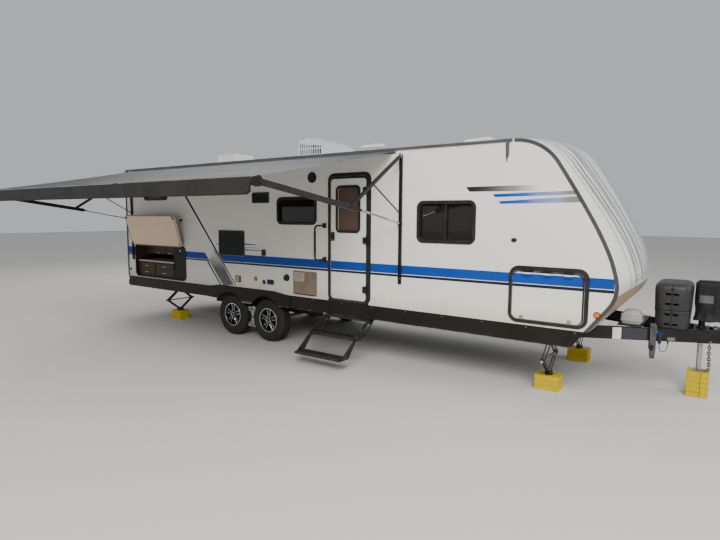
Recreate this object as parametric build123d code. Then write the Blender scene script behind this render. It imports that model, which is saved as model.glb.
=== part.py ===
"""Travel caravan: a two-axle touring trailer with an outside kitchen, standing as it parks.

Millimetres. X points forward to the towing vehicle, Y to the left side, Z up.
Heights are written above the ground, and each piece is lowered by ball_height when it is
saved, so the origin of the files is the centre of the coupler's ball socket.
"""
from build123d import *
import os
from math import sin, cos, tan, atan2, radians, pi

# Overall sizes
ball_height = 700
body_length = 9273
body_width = 2440
wall_bottom = 843
wall_top = 2983
nose_tip_x = -1107
roof_crown = 70
cap_bulge = 110

# Thicknesses of the body's panels
wall_thick = 40
shell_thick = 25
floor_thick = 50
skirt_thick = 6
skirt_bottom = 640

# Clearances
panel_gap = 5
seat_gap = 0.3
pin_gap = 0.5

# Chassis
rail_top = 820
rail_height = 150
rail_width = 50
rail_web = 6
rail_spread = 1660
tongue_half_angle = 24.1
tongue_tip_x = -75
tongue_tip_y = 50
bumper_size = 100

# Running gear
tyre_radius = 362
tyre_width = 208
rim_radius = 190
track = 2116
front_axle_x = -6389
tyre_space = 151
axle_x = (front_axle_x, front_axle_x - 2 * tyre_radius - tyre_space)
axle_tube = 30
spindle_radius = 19
arch_clearance = 47

side_y = body_width / 2
inner_y = side_y - wall_thick
rear_x = nose_tip_x - body_length
roof_edge = wall_top + shell_thick
wall_height = wall_top - wall_bottom
ground_shift = Location((0, 0, -ball_height))

os.makedirs("parts", exist_ok=True)


def save(name, solids):
    """Write one node, lowered so that the ball socket's centre is the origin."""
    solids = solids if isinstance(solids, list) else [solids]
    shape = Compound(children=[s.moved(ground_shift) for piece in solids for s in piece.solids()])
    export_step(shape, f"parts/{name}.step")


def block(x0, x1, y0, y1, z0, z1):
    """A rectangular block between two corners."""
    centre = Pos((x0 + x1) / 2, (y0 + y1) / 2, (z0 + z1) / 2)
    return centre * Box(abs(x1 - x0), abs(y1 - y0), abs(z1 - z0))


def rounded_panel(x0, x1, z0, z1, radius, y0, y1):
    """A panel in the XZ plane with rounded corners, from y0 to y1."""
    face = Plane.XZ * RectangleRounded(abs(x1 - x0), abs(z1 - z0), radius)
    placed = Pos((x0 + x1) / 2, y0, (z0 + z1) / 2) * face
    return extrude(placed, amount=abs(y1 - y0), dir=(0, 1 if y1 > y0 else -1, 0))


def rounded_ring(x0, x1, z0, z1, radius, border, y0, y1):
    """A picture frame in the XZ plane: the outer panel less the same panel inset by border."""
    inner = max(radius - border, 5)
    outside = rounded_panel(x0, x1, z0, z1, radius, y0, y1)
    return outside - rounded_panel(x0 + border, x1 - border, z0 + border, z1 - border, inner, y0, y1)


def rod(start, end, radius):
    """A round bar between two points."""
    a, b = Vector(*start), Vector(*end)
    return Plane(origin=a, z_dir=b - a) * Cylinder(
        radius, (b - a).length, align=(Align.CENTER, Align.CENTER, Align.MIN))


def bar(start, end, width, depth):
    """A rectangular bar between two points of one YZ plane, width along X."""
    a, b = Vector(*start), Vector(*end)
    return Plane(origin=a, x_dir=(1, 0, 0), z_dir=b - a) * Box(
        width, depth, (b - a).length, align=(Align.CENTER, Align.CENTER, Align.MIN))


def prism_xz(points, y0, y1):
    """A polygon in the XZ plane, carried from y0 to y1."""
    face = make_face(Polyline(*[(x, y0, z) for x, z in points], close=True))
    return extrude(face, amount=abs(y1 - y0), dir=(0, 1 if y1 > y0 else -1, 0))


def prism_yz(points, x0, x1):
    """A polygon in the YZ plane, carried from x0 to x1."""
    face = make_face(Polyline(*[(x0, y, z) for y, z in points], close=True))
    return extrude(face, amount=abs(x1 - x0), dir=(1 if x1 > x0 else -1, 0, 0))


def prism_xy(points, z0, z1):
    """A polygon in the XY plane, carried from z0 to z1."""
    face = make_face(Polyline(*[(x, y, z0) for x, y in points], close=True))
    return extrude(face, amount=abs(z1 - z0), dir=(0, 0, 1 if z1 > z0 else -1))


def mirror_left(piece):
    """The same piece on the other side of the caravan."""
    return mirror(piece, about=Plane.XZ)


# The nose is a run of tangent arcs: radius as a share of the wall height, turn in degrees.
# The first three turn the roof line down, the fourth and fifth round the point of the nose,
# and the cap ends between the fifth and the sixth.
nose_arcs = (
    (0.290, 57.0),
    (5.607, 3.5),
    (1.869, 5.0),
    (0.794, 12.5),
    (0.187, 24.0),
    (0.187, 25.0),
)
cap_arcs = 5
cap_lap = 150


def nose_path(inset):
    """The nose outline, inset from the outer skin: start, a list of (middle, end), last heading."""
    x, z, heading = 0.0, 0.0, 0.0
    reach = 0.0
    steps = []
    for share, turn in nose_arcs:
        radius = share * wall_height - inset
        points = []
        for part in (0.5, 1.0):
            angle = radians(heading + turn * part)
            first = radians(heading)
            points.append((x + radius * (sin(angle) - sin(first)), z - radius * (cos(first) - cos(angle))))
        if heading < 90 <= heading + turn:
            reach = x + radius * (1 - sin(radians(heading)))
        steps.append(points)
        x, z = points[1]
        heading += turn
    shift_x = nose_tip_x - inset - reach
    shift_z = roof_edge - inset
    moved = [[(px + shift_x, pz + shift_z) for px, pz in pair] for pair in steps]
    return (shift_x, shift_z), moved, heading


def nose_floor_point(inset):
    """Where the nose outline's last straight line reaches the wall's bottom edge."""
    start, steps, heading = nose_path(inset)
    x, z = steps[-1][1]
    drop = z - wall_bottom
    return x + drop / tan(radians(heading)), wall_bottom


def edges_along(start, steps, y, dx=0, dz=0):
    """Arc edges through the given steps in the plane y, shifted by dx and dz."""
    edges = []
    here = start
    for middle, end in steps:
        edges.append(ThreePointArc(*[(x + dx, y, z + dz) for x, z in (here, middle, end)]))
        here = end
    return edges


nose_start_x = nose_path(0)[0][0]
roof_front_x = nose_start_x - cap_lap


def wall_blank(y0, y1):
    """A side wall before its openings are cut: the body's outline less the cap's shell."""
    start, steps, heading = nose_path(shell_thick)
    foot = nose_floor_point(shell_thick)
    edges = [Line((rear_x, y0, wall_bottom), (rear_x, y0, start[1]))]
    edges.append(Line((rear_x, y0, start[1]), (start[0], y0, start[1])))
    edges += edges_along(start, steps, y0)
    edges.append(Line((steps[-1][1][0], y0, steps[-1][1][1]), (foot[0], y0, foot[1])))
    edges.append(Line((foot[0], y0, foot[1]), (rear_x, y0, wall_bottom)))
    face = make_face(edges)
    return extrude(face, amount=abs(y1 - y0), dir=(0, 1 if y1 > y0 else -1, 0))


def shell_section(y, first, last, dx, dz):
    """A closed strip of the nose shell at one y, from arc number first up to last.

    The strip that holds the first arc starts with the straight lap back to the roof's end, and
    the strip that holds the last arc ends with the straight line down to the floor.
    """
    loops = []
    for inset in (0, shell_thick):
        start, steps, heading = nose_path(inset)
        begin = start if first == 0 else steps[first - 1][1]
        loops.append((begin, steps[first:last], nose_floor_point(inset)))
    (begin_out, outer, foot_out), (begin_in, inner, foot_in) = loops
    edges = edges_along(begin_out, outer, y, dx, dz)
    near_out = (begin_out[0] + dx, y, begin_out[1] + dz)
    near_in = (begin_in[0] + dx, y, begin_in[1] + dz)
    if first == 0:
        back_out = (roof_front_x, y, begin_out[1] + dz)
        back_in = (roof_front_x, y, begin_in[1] + dz)
        edges += [Line(near_out, back_out), Line(back_out, back_in), Line(back_in, near_in)]
    else:
        edges.append(Line(near_out, near_in))
    end_out = (outer[-1][1][0] + dx, y, outer[-1][1][1] + dz)
    end_in = (inner[-1][1][0] + dx, y, inner[-1][1][1] + dz)
    if last == len(nose_arcs):
        foot_a = (foot_out[0], y, foot_out[1])
        foot_b = (foot_in[0], y, foot_in[1])
        edges += [Line(end_out, foot_a), Line(foot_a, foot_b), Line(foot_b, end_in)]
    else:
        edges.append(Line(end_out, end_in))
    edges += edges_along(begin_in, inner, y, dx, dz)
    return make_face(edges)


def nose_shell(first, last):
    """A crowned shell lofted through the right edge, the middle and the left edge."""
    sections = [
        shell_section(-side_y, first, last, 0, 0),
        shell_section(0, first, last, cap_bulge, roof_crown),
        shell_section(side_y, first, last, 0, 0),
    ]
    return loft(sections)


# Openings in the side walls. Columns: rear x, front x, bottom z, top z, corner radius.
entry_opening = (-5005, -4350, 873, 2673, 60)
baggage_opening = (-2262, -1442, 900, 1488, 80)
kitchen_opening = (rear_x + 300, rear_x + 1910, 880, 1500, 80)
right_windows = {
    "bedroom": (-3524, -2763, 1790, 2276, 60),
    "galley": (-6060, -5296, 1993, 2360, 60),
    "bunk": (rear_x + 680, rear_x + 1390, 2410, 2590, 40),
}
left_windows = {
    "bedroom": (-3524, -2763, 1790, 2276, 60),
    "dinette": (-6000, -4800, 1690, 2330, 60),
    "bath": (rear_x + 1080, rear_x + 1580, 2100, 2400, 60),
}
frame_flange = 30
frame_proud = 12
entry_flange = 36
baggage_flange = 32
kitchen_flange = 22


def cut_openings(wall, openings, y0, y1):
    for x0, x1, z0, z1, radius in openings:
        wall -= rounded_panel(x0, x1, z0, z1, radius, y0, y1)
    return wall


# Side walls, rear wall, roof, cap and floor
through = 10
right_openings = [entry_opening, baggage_opening, kitchen_opening] + list(right_windows.values())
right_wall = cut_openings(wall_blank(-side_y, -inner_y), right_openings,
                          -side_y - through, -inner_y + through)
save("right_wall", right_wall)

left_openings = [baggage_opening] + list(left_windows.values())
left_wall = cut_openings(wall_blank(inner_y, side_y), left_openings,
                         inner_y - through, side_y + through)
save("left_wall", left_wall)

rear_wall = block(rear_x, rear_x + wall_thick, -inner_y, inner_y, wall_bottom, wall_top)
save("rear_wall", rear_wall)


def roof_section(x):
    """The roof's cross-section: flat ceiling, low edges, one shallow arc across the top."""
    half = side_y
    return make_face([
        Line((x, -half, wall_top), (x, half, wall_top)),
        Line((x, half, wall_top), (x, half, roof_edge)),
        ThreePointArc((x, half, roof_edge), (x, 0, roof_edge + roof_crown), (x, -half, roof_edge)),
        Line((x, -half, roof_edge), (x, -half, wall_top)),
    ])


roof = extrude(roof_section(rear_x), amount=roof_front_x - rear_x, dir=(1, 0, 0))
save("roof", roof)

front_cap = nose_shell(0, cap_arcs)
save("front_cap", front_cap)
front_panel = nose_shell(cap_arcs, len(nose_arcs))
save("lower_front_panel", front_panel)

floor_front_x = nose_floor_point(shell_thick)[0] - floor_thick
floor_rear_x = rear_x + wall_thick
floor = block(floor_rear_x, floor_front_x, -inner_y, inner_y, rail_top, rail_top + floor_thick)
# Wells keep the floor off the tyres where they are tall enough to reach it.
arch_radius = tyre_radius + arch_clearance
for x in axle_x:
    for sign in (-1, 1):
        well_y = sign * (track - tyre_width) / 2 - sign * arch_clearance
        floor -= rod((x, well_y, tyre_radius), (x, sign * side_y, tyre_radius), arch_radius)
save("floor", floor)


# Windows: a black frame round each opening and a tinted pane held in it.
pane_thick = 5
jamb_thick = 14


def window_frame(x0, x1, z0, z1, radius, outer_y, sign, bar_at=None):
    """One frame: a flange on the wall's face and a jamb through the opening."""
    face_y = sign * outer_y
    flange = rounded_ring(x0 - frame_flange, x1 + frame_flange, z0 - frame_flange, z1 + frame_flange,
                          radius + frame_flange, frame_flange + jamb_thick,
                          face_y, face_y + sign * frame_proud)
    jamb = rounded_ring(x0 + seat_gap, x1 - seat_gap, z0 + seat_gap, z1 - seat_gap, radius, jamb_thick,
                        face_y, face_y - sign * wall_thick)
    frame = flange + jamb
    if bar_at is not None:
        frame += block(bar_at - jamb_thick, bar_at + jamb_thick, face_y - sign * 2 * jamb_thick,
                       face_y, z0 + jamb_thick / 2, z1 - jamb_thick / 2)
    return frame


def window_pane(x0, x1, z0, z1, radius, outer_y, sign):
    """The pane, seated in the middle of the jamb."""
    middle_y = sign * (outer_y - wall_thick + pane_thick)
    inset = jamb_thick + 2 * seat_gap
    return rounded_panel(x0 + inset, x1 - inset, z0 + inset, z1 - inset, radius - inset,
                         middle_y, middle_y + sign * pane_thick)


frames = []
panes = []
for windows, sign in ((right_windows, -1), (left_windows, 1)):
    for name, (x0, x1, z0, z1, radius) in windows.items():
        split = (x0 + x1) / 2 if name in ("bedroom", "dinette") else None
        frames.append(window_frame(x0, x1, z0, z1, radius, side_y, sign, split))
        panes.append(window_pane(x0, x1, z0, z1, radius, side_y, sign))
save("window_frames", frames)
save("window_glass", panes)

# Door frames: flat black flanges round the entry door, the baggage doors and the galley hatch.
door_frames = []
framed = ((entry_opening, entry_flange), (baggage_opening, baggage_flange),
          (kitchen_opening, kitchen_flange))
for opening, flange in framed:
    x0, x1, z0, z1, radius = opening
    ring = rounded_ring(x0 - flange, x1 + flange, z0 - flange, z1 + flange, radius + flange, flange,
                        -side_y, -side_y - frame_proud)
    if opening is entry_opening:
        face = (-side_y, -side_y - frame_proud)
        ring = ring - block(x0 - flange, x1 + flange, *face, z0 - flange - 1, z0)
        ring += block(x0 - flange, x1 + flange, *face, wall_bottom, z0)
    door_frames.append(ring)
    if opening is baggage_opening:
        door_frames.append(mirror_left(ring))

# Hinges: each door carries knuckles, held at both ends by knuckles fixed to its frame.
hinge_radius = 7
knuckle = 25
hinge_leaf = 4
strap_length = 60
strap_foot = 28
entry_hinge = (entry_opening[1] + 4, -side_y - 22)
baggage_hinge = (-side_y - 20, baggage_opening[3] + 4)
kitchen_hinge = (-side_y - 20, kitchen_opening[3] + 4)
entry_hinge_z = (1060, 1760, 2460)
baggage_hinge_x = (-2080, -1852, -1624)
kitchen_hinge_in = 180
kitchen_hinge_x = (kitchen_opening[0] + kitchen_hinge_in, (kitchen_opening[0] + kitchen_opening[1]) / 2,
                   kitchen_opening[1] - kitchen_hinge_in)
hinge_half = 45


def fixed_knuckles_x(hinge_x, axis_y, axis_z):
    """Two knuckles on a frame's top flange, one at each end of a door knuckle along X."""
    pieces = []
    for sign in (-1, 1):
        near = hinge_x + sign * (hinge_half + seat_gap)
        far = near + sign * knuckle
        pin = rod((near, axis_y, axis_z), (far, axis_y, axis_z), hinge_radius - 1)
        leaf_y = axis_y - hinge_radius + 1
        pieces.append(pin + block(near, far, leaf_y, -side_y - frame_proud / 2, axis_z, axis_z + 12))
    return pieces


for hinge_z in entry_hinge_z:
    for sign in (-1, 1):
        near = hinge_z + sign * (hinge_half + seat_gap)
        far = near + sign * knuckle
        door_frames[0] += rod((*entry_hinge, near), (*entry_hinge, far), hinge_radius)
        door_frames[0] += block(entry_hinge[0], entry_hinge[0] + 16, entry_hinge[1] - hinge_radius,
                                -side_y - frame_proud / 2, near, far)
for hinge_x in baggage_hinge_x:
    for piece in fixed_knuckles_x(hinge_x, *baggage_hinge):
        door_frames[1] += piece
        door_frames[2] += mirror_left(piece)
for hinge_x in kitchen_hinge_x:
    for piece in fixed_knuckles_x(hinge_x, *kitchen_hinge):
        door_frames[3] += piece
save("door_frames", door_frames)


def hang_on_top(door, hinge_x, axis_y, axis_z):
    """A door with the knuckle and strap that hang it from its top edge."""
    pin_radius = hinge_radius - 1
    face_y = axis_y - pin_radius
    x0, x1 = hinge_x - hinge_half, hinge_x + hinge_half
    strap_low = axis_z - strap_length
    door += rod((x0, axis_y, axis_z), (x1, axis_y, axis_z), pin_radius)
    door += block(x0, x1, face_y, face_y + hinge_leaf, strap_low, axis_z)
    door += block(x0, x1, face_y, -side_y, strap_low, strap_low + strap_foot)
    return door


def door_slab(opening, y0=-side_y, depth=wall_thick):
    """A door that fills its opening with an even gap, its face flush with the wall."""
    x0, x1, z0, z1, radius = opening
    return rounded_panel(x0 + panel_gap, x1 - panel_gap, z0 + panel_gap, z1 - panel_gap,
                         radius - panel_gap, y0, y0 + depth)


# Entry door with its window, latch and hinges. It swings on an upright axis at its front edge.
door_window = (-4888, -4474, 1871, 2526, 60)
door_ring = 34
latch = (-4990, -4926, 1740, 1866)
latch_proud = 10

entry_door = door_slab(entry_opening)
entry_door -= rounded_panel(*door_window, -side_y - through, -inner_y + through)
entry_door += rounded_ring(door_window[0] - 10, door_window[1] + 10, door_window[2] - 10,
                           door_window[3] + 10, 70, door_ring, -side_y - latch_proud, -side_y)
entry_door += rounded_ring(*door_window, door_ring - 10, -side_y, -inner_y)
entry_door += rounded_panel(*latch, 12, -side_y, -side_y - latch_proud)
for hinge_z in entry_hinge_z:
    span = (hinge_z - hinge_half, hinge_z + hinge_half)
    strap_x = entry_hinge[0] - strap_length
    leaf_y = entry_hinge[1] - hinge_radius
    entry_door += Pos(*entry_hinge, hinge_z) * Cylinder(hinge_radius, 2 * hinge_half)
    entry_door += block(strap_x, entry_hinge[0], leaf_y, leaf_y + hinge_leaf, *span)
    entry_door += block(strap_x, strap_x + strap_foot, leaf_y, -side_y, *span)
save("entry_door", entry_door)
glass_inset = door_ring - 10
entry_glass = rounded_panel(door_window[0] + glass_inset, door_window[1] - glass_inset,
                            door_window[2] + glass_inset, door_window[3] - glass_inset,
                            60 - glass_inset, -side_y + 12, -side_y + 12 + pane_thick)
save("entry_door_glass", entry_glass)

# Baggage doors, hinged along their top edges, with two latches each.
baggage_door = door_slab(baggage_opening)
for latch_x in (-2134, -1597):
    baggage_door += rounded_panel(latch_x - 22, latch_x + 22, 908, 952, 8, -side_y, -side_y - latch_proud)
for hinge_x in baggage_hinge_x:
    baggage_door = hang_on_top(baggage_door, hinge_x, *baggage_hinge)
save("right_baggage_door", baggage_door)
save("left_baggage_door", mirror_left(baggage_door))

# Galley hatch, open as in the photo, hinged along its top edge.
kitchen_open = 165
kitchen_door = door_slab(kitchen_opening, depth=30)
for hinge_x in kitchen_hinge_x:
    kitchen_door = hang_on_top(kitchen_door, hinge_x, *kitchen_hinge)
kitchen_axis = Axis((0, kitchen_hinge[0], kitchen_hinge[1]), (1, 0, 0))
kitchen_door = kitchen_door.rotate(kitchen_axis, -kitchen_open)
save("kitchen_door", kitchen_door)

# Outside kitchen: a carcass behind the hatch with wall cupboards, a worktop, drawers and a fridge.
carcass_depth = 560
carcass_skin = 16
carcass_gap = 8
kx0, kx1, kz0, kz1, kr = kitchen_opening
face_y = -inner_y + seat_gap
back_y = face_y + carcass_depth
cabinet = block(kx0, kx1, face_y, back_y, kz0, kz1)
cabinet -= block(kx0 + carcass_skin, kx1 - carcass_skin, face_y - through, back_y - carcass_skin,
                 kz0 + carcass_skin, kz1 - carcass_skin)
worktop_z = 1165
fridge_x = kx1 - 415
cabinet += block(kx0 + 2, fridge_x, face_y + carcass_gap, back_y - 5, worktop_z, worktop_z + 24)
cabinet += block(fridge_x, kx1 - 5, face_y + 12, back_y - 5, kz0 + 5, kz1 - 5)
cabinet += block(kx0 + 5, fridge_x + 5, face_y + 180, back_y - 5, worktop_z + 150, kz1 - 5)
for drawer_x0, drawer_x1 in ((kx0 + 30, kx0 + 580), (kx0 + 600, fridge_x - 14)):
    cabinet += block(drawer_x0, drawer_x1, face_y + 10, back_y - 5, kz0 + 12, worktop_z - 14)
knob_x, knob_z = kx1 - 200, 1425
cabinet += rod((knob_x, face_y + 12, knob_z), (knob_x, face_y - 2, knob_z), 22)
save("kitchen_cabinet", cabinet)


# Chassis: channel rails, cross members and outriggers, the drawbar's two raked channels,
# the tray for the gas bottles, the battery tray, the spring-bar brackets and the rear bumper.
rail_bottom = rail_top - rail_height
rail_y = rail_spread / 2
flange_thick = 8
slope = tan(radians(tongue_half_angle))


def drawbar_y(x):
    """Y of the drawbar channel's outer face at x."""
    return tongue_tip_y + (tongue_tip_x - x) * slope


def channel_x(x0, x1, web_y, sign):
    """A channel along X: its web's outer face at web_y, its flanges turned by sign."""
    far_y = web_y + sign * rail_width
    body = block(x0, x1, web_y, far_y, rail_bottom, rail_top)
    return body - block(x0 - 1, x1 + 1, web_y + sign * rail_web, far_y + sign,
                        rail_bottom + flange_thick, rail_top - flange_thick)


drawbar_end_x = tongue_tip_x - (rail_y + rail_web - tongue_tip_y) / slope
drawbar_depth = rail_width / cos(radians(tongue_half_angle))
web_depth = rail_web / cos(radians(tongue_half_angle))


def drawbar_rail():
    """The left drawbar channel, open towards the middle."""
    def strip(near, far, z0, z1):
        points = [(tongue_tip_x, tongue_tip_y - near), (drawbar_end_x, drawbar_y(drawbar_end_x) - near),
                  (drawbar_end_x, drawbar_y(drawbar_end_x) - far), (tongue_tip_x, tongue_tip_y - far)]
        return prism_xy(points, z0, z1)
    solid = strip(0, drawbar_depth, rail_bottom, rail_top)
    return solid - strip(web_depth, drawbar_depth + 20, rail_bottom + flange_thick, rail_top - flange_thick)


cross_x = [-1820, -2900, -4000, -5200, axle_x[0] + tyre_radius + 127, axle_x[0] - tyre_radius - 75,
           axle_x[1] - tyre_radius - 124, rear_x + 1880, rear_x + 1080, rear_x + 60]
cross_width = 40
cross_bottom = rail_bottom + 30
outrigger_thick = 10
left_half = channel_x(rear_x, drawbar_end_x + 200, rail_y, -1) + drawbar_rail()
for x in cross_x:
    left_half += prism_yz([(rail_y - 2, rail_top), (inner_y, rail_top), (inner_y, rail_top - 50),
                           (rail_y - 2, cross_bottom)], x - outrigger_thick, x + outrigger_thick)
chassis = left_half + mirror_left(left_half)
for x in cross_x:
    chassis += block(x - cross_width / 2, x + cross_width / 2, -rail_y, rail_y, cross_bottom, rail_top)

tray_thick = 6
gas_x = (-860, -505)
battery_x = (-1230, -970)
for x0, x1 in (gas_x, battery_x):
    half = drawbar_y(x1) - 10
    chassis += block(x0, x1, -half, half, rail_top, rail_top + tray_thick)

# Spring-bar brackets: a plate on each drawbar channel's outer face with a hook at its foot.
bracket_x = -850
bracket_size = (70, 24, 300)
bracket_top = rail_top + 60
bracket_y = drawbar_y(bracket_x) + bracket_size[1] / 2
bracket = Rot(0, 0, -tongue_half_angle) * Box(*bracket_size)
bracket = Pos(bracket_x, bracket_y, bracket_top - bracket_size[2] / 2) * bracket
hook = Pos(bracket_x, drawbar_y(bracket_x) + bracket_size[1], rail_top - 225) * Cylinder(20, 60)
chassis += bracket + hook
chassis += mirror_left(bracket + hook)

# Bumper: a square tube on two arms behind the rear wall.
bumper_x = rear_x - 60
bumper_z = (rail_bottom - 40, rail_bottom - 40 + bumper_size)
bumper_half = 1130
bumper = block(bumper_x - bumper_size, bumper_x, -bumper_half, bumper_half, *bumper_z)
bumper -= block(bumper_x - bumper_size + 4, bumper_x - 4, -bumper_half - 1, bumper_half + 1,
                bumper_z[0] + 4, bumper_z[1] - 4)
for sign in (1, -1):
    bumper += block(bumper_x - 2, rear_x + 80, sign * (rail_y - 45), sign * (rail_y - 8),
                    rail_bottom, rail_bottom + 60)
chassis += bumper

# Tow lead: it leaves a gland under the right drawbar channel and hangs in a loop to its plug,
# which is parked in a shelf on the channel's outer face.
lead_x = -690
lead_radius = 4
gland_radius = 9
gland_foot = rail_bottom - 20
plug_foot = gland_foot + 2
plug_radius = 20
plug_cap_radius = 25
plug_cap_top = 790
shelf_z = 715
shelf_thick = 6
shelf_half = 30
shelf_reach = 58
# Columns: back along the channel from the gland, out from the channel's outer face, height.
lead_route = (
    (0, -20, gland_foot),
    (0, -20, 600),
    (20, -10, 560),
    (56, 4, 543),
    (92, 18, 560),
    (108, 28, 602),
    (108, 28, plug_foot),
)


def beside_drawbar(back, out):
    """X and Y of a point back along the right drawbar channel, and out from its outer face."""
    angle = radians(tongue_half_angle)
    x = lead_x - back * cos(angle) + out * sin(angle)
    y = -drawbar_y(lead_x) - back * sin(angle) - out * cos(angle)
    return x, y


plug_back, plug_out = lead_route[-1][:2]
plug_place = beside_drawbar(plug_back, plug_out)
gland_place = beside_drawbar(*lead_route[0][:2])
shelf_edge = [(plug_back - shelf_half, -2), (plug_back + shelf_half, -2),
              (plug_back + shelf_half, shelf_reach), (plug_back - shelf_half, shelf_reach)]
shelf = prism_xy([beside_drawbar(*corner) for corner in shelf_edge], shelf_z, shelf_z + shelf_thick)
shelf -= rod((*plug_place, shelf_z - 1), (*plug_place, shelf_z + shelf_thick + 1), plug_radius + seat_gap)
chassis += shelf
chassis += rod((*gland_place, rail_bottom + 2), (*gland_place, gland_foot), gland_radius)

tow_plug = rod((*plug_place, plug_foot), (*plug_place, plug_cap_top), plug_radius)
tow_plug += rod((*plug_place, shelf_z + shelf_thick + seat_gap), (*plug_place, plug_cap_top), plug_cap_radius)
save("tow_plug", tow_plug)


def corner_radius(before, corner, after):
    """The radius of the arc at one point of a hanging lead, from its shorter run and its turn."""
    run_in, run_out = corner - before, after - corner
    shorter = min(run_in.length, run_out.length)
    return 0.45 * shorter / tan(radians(run_in.get_angle(run_out)) / 2)


def hanging_lead(points, radius):
    """A round lead along straight runs joined by tangent arcs."""
    corners = [Vector(*point) for point in points]
    edges = []
    here = corners[0]
    for before, corner, after in zip(corners, corners[1:], corners[2:]):
        bend = corner_radius(before, corner, after)
        run_in, run_out = (corner - before).normalized(), (after - corner).normalized()
        half_turn = radians(run_in.get_angle(run_out)) / 2
        start = corner - run_in * (bend * tan(half_turn))
        end = corner + run_out * (bend * tan(half_turn))
        towards = (run_out - run_in).normalized()
        middle = corner + towards * (bend / cos(half_turn) - bend)
        edges += [Line(here, start), ThreePointArc(start, middle, end)]
        here = end
        print(f"lead bend radius {bend:.0f}")
    edges.append(Line(here, corners[-1]))
    path = Wire(edges)
    section = Plane(origin=corners[0], z_dir=corners[1] - corners[0]) * Circle(radius)
    lead = sweep(section, path=path)
    print(f"lead length {path.length:.0f}, volume share {lead.volume / (pi * radius ** 2 * path.length):.4f}")
    return lead


save("tow_cable", hanging_lead([(*beside_drawbar(back, out), z) for back, out, z in lead_route], lead_radius))

# The tongue jack's sleeve plate, welded across the drawbar's tip.
jack_x = -390
jack_tube_radius = 35
jack_plate_half = drawbar_y(jack_x) - 4
for plate_z in (rail_top - tray_thick, rail_bottom):
    chassis += block(jack_x - 75, jack_x + 75, -jack_plate_half, jack_plate_half,
                     plate_z, plate_z + tray_thick)
chassis -= Pos(jack_x, 0, (rail_top + rail_bottom) / 2) * Cylinder(jack_tube_radius, rail_height + 40)

# Entry step mounts: two hanger plates under the floor, one at each end of the steps.
step_x = (-5110, -4330)
step_pivot = (-side_y + 120, 612)
step_pin = 8
hanger_thick = 8
hanger_gap = 6
pivot_y, pivot_z = step_pivot
hanger = [(-rail_y + 2, rail_bottom), (-rail_y + 2, rail_top - 2), (pivot_y + 120, rail_top - 2),
          (pivot_y - 30, pivot_z + 20), (pivot_y - 30, pivot_z - 22), (pivot_y + 30, pivot_z - 22)]
for x, sign in ((step_x[0] - hanger_gap, -1), (step_x[1] + hanger_gap, 1)):
    chassis += prism_yz(hanger, x, x + sign * hanger_thick)
    chassis += rod((x - sign * (hanger_gap + hanger_thick), *step_pivot), (x, *step_pivot), step_pin)
save("chassis_frame", chassis)

# Coupler: a pressed shell over the drawbar's tip that ends in the ball socket.
socket_radius = 29.9
socket_wall = 10
socket_length = 28
socket_foot = ball_height - socket_length / 2
dome_height = 64
coupler_top = rail_top + 8
coupler_lap = 200
lap_x = tongue_tip_x - coupler_lap
dome_radius = socket_radius + socket_wall
coupler_half = [(lap_x, drawbar_y(lap_x)), (tongue_tip_x, tongue_tip_y), (10, dome_radius)]
coupler = prism_xy(coupler_half + [(x, -y) for x, y in reversed(coupler_half)],
                   rail_top + seat_gap, coupler_top)
coupler += block(tongue_tip_x + seat_gap, 20, -socket_radius - 4, socket_radius + 4,
                 ball_height + 20, rail_top + 2)
coupler += rod((0, 0, socket_foot), (0, 0, socket_foot + dome_height), dome_radius)
coupler -= rod((0, 0, socket_foot - 1), (0, 0, socket_foot + socket_length), socket_radius)
coupler += block(-60, 0, -14, 14, rail_top, rail_top + 46)
coupler += rod((-58, 0, rail_top + 40), (60, 0, rail_top + 70), 9)
save("coupler", coupler)

# Tongue jack: a fixed tube with its gear head and a leg that slides out of it onto the blocks.
foot_z = 300
leg_radius = 28.5
leg_travel = 300
leg_length = 660
jack_bottom = foot_z + leg_travel + 40
jack_tube_top = foot_z + leg_travel + leg_length + 30
jack_head_top = jack_tube_top + 90
jack_collar = (62, 10)
head_half_x, head_half_y = 110, 55
head_x = jack_x + head_half_x / 2
leg_wall = 5
jack_foot = (60, 8)
collar_z = rail_top + seat_gap


def upright(radius, low, high):
    """A round bar on the jack's axis."""
    return rod((jack_x, 0, low), (jack_x, 0, high), radius)


jack_tube = upright(jack_tube_radius - seat_gap, jack_bottom, jack_tube_top)
jack_tube += upright(jack_collar[0], collar_z, collar_z + jack_collar[1])
jack_tube -= upright(leg_radius + pin_gap, jack_bottom - 1, jack_tube_top - 10)
head = block(head_x - head_half_x, head_x + head_half_x, -head_half_y, head_half_y,
             jack_tube_top - 10, jack_head_top)
jack_tube += fillet(head.edges().filter_by(Axis.Z), 40)
save("jack_housing", jack_tube)

jack_leg = upright(leg_radius, foot_z, foot_z + leg_length)
jack_leg -= upright(leg_radius - leg_wall, foot_z + 20, foot_z + leg_length + 1)
jack_leg += upright(jack_foot[0], foot_z, foot_z + jack_foot[1])
save("jack_leg", jack_leg)

# Fabric cover pulled over the jack's head: a soft bag, open below.
cover_x = (-480, -165)
cover_half = 120
cover_z = (905, jack_head_top + 14)
cover_skin = 8
cover_corner = 70
hollow_half = cover_half - cover_skin
cover = block(*cover_x, -cover_half, cover_half, *cover_z)
cover = fillet(cover.edges().filter_by(Axis.Z), cover_corner)
hollow = block(cover_x[0] + cover_skin, cover_x[1] - cover_skin, -hollow_half, hollow_half,
               cover_z[0] - 1, jack_head_top + seat_gap)
cover -= fillet(hollow.edges().filter_by(Axis.Z), cover_corner - cover_skin)
save("jack_cover", cover)

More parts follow.
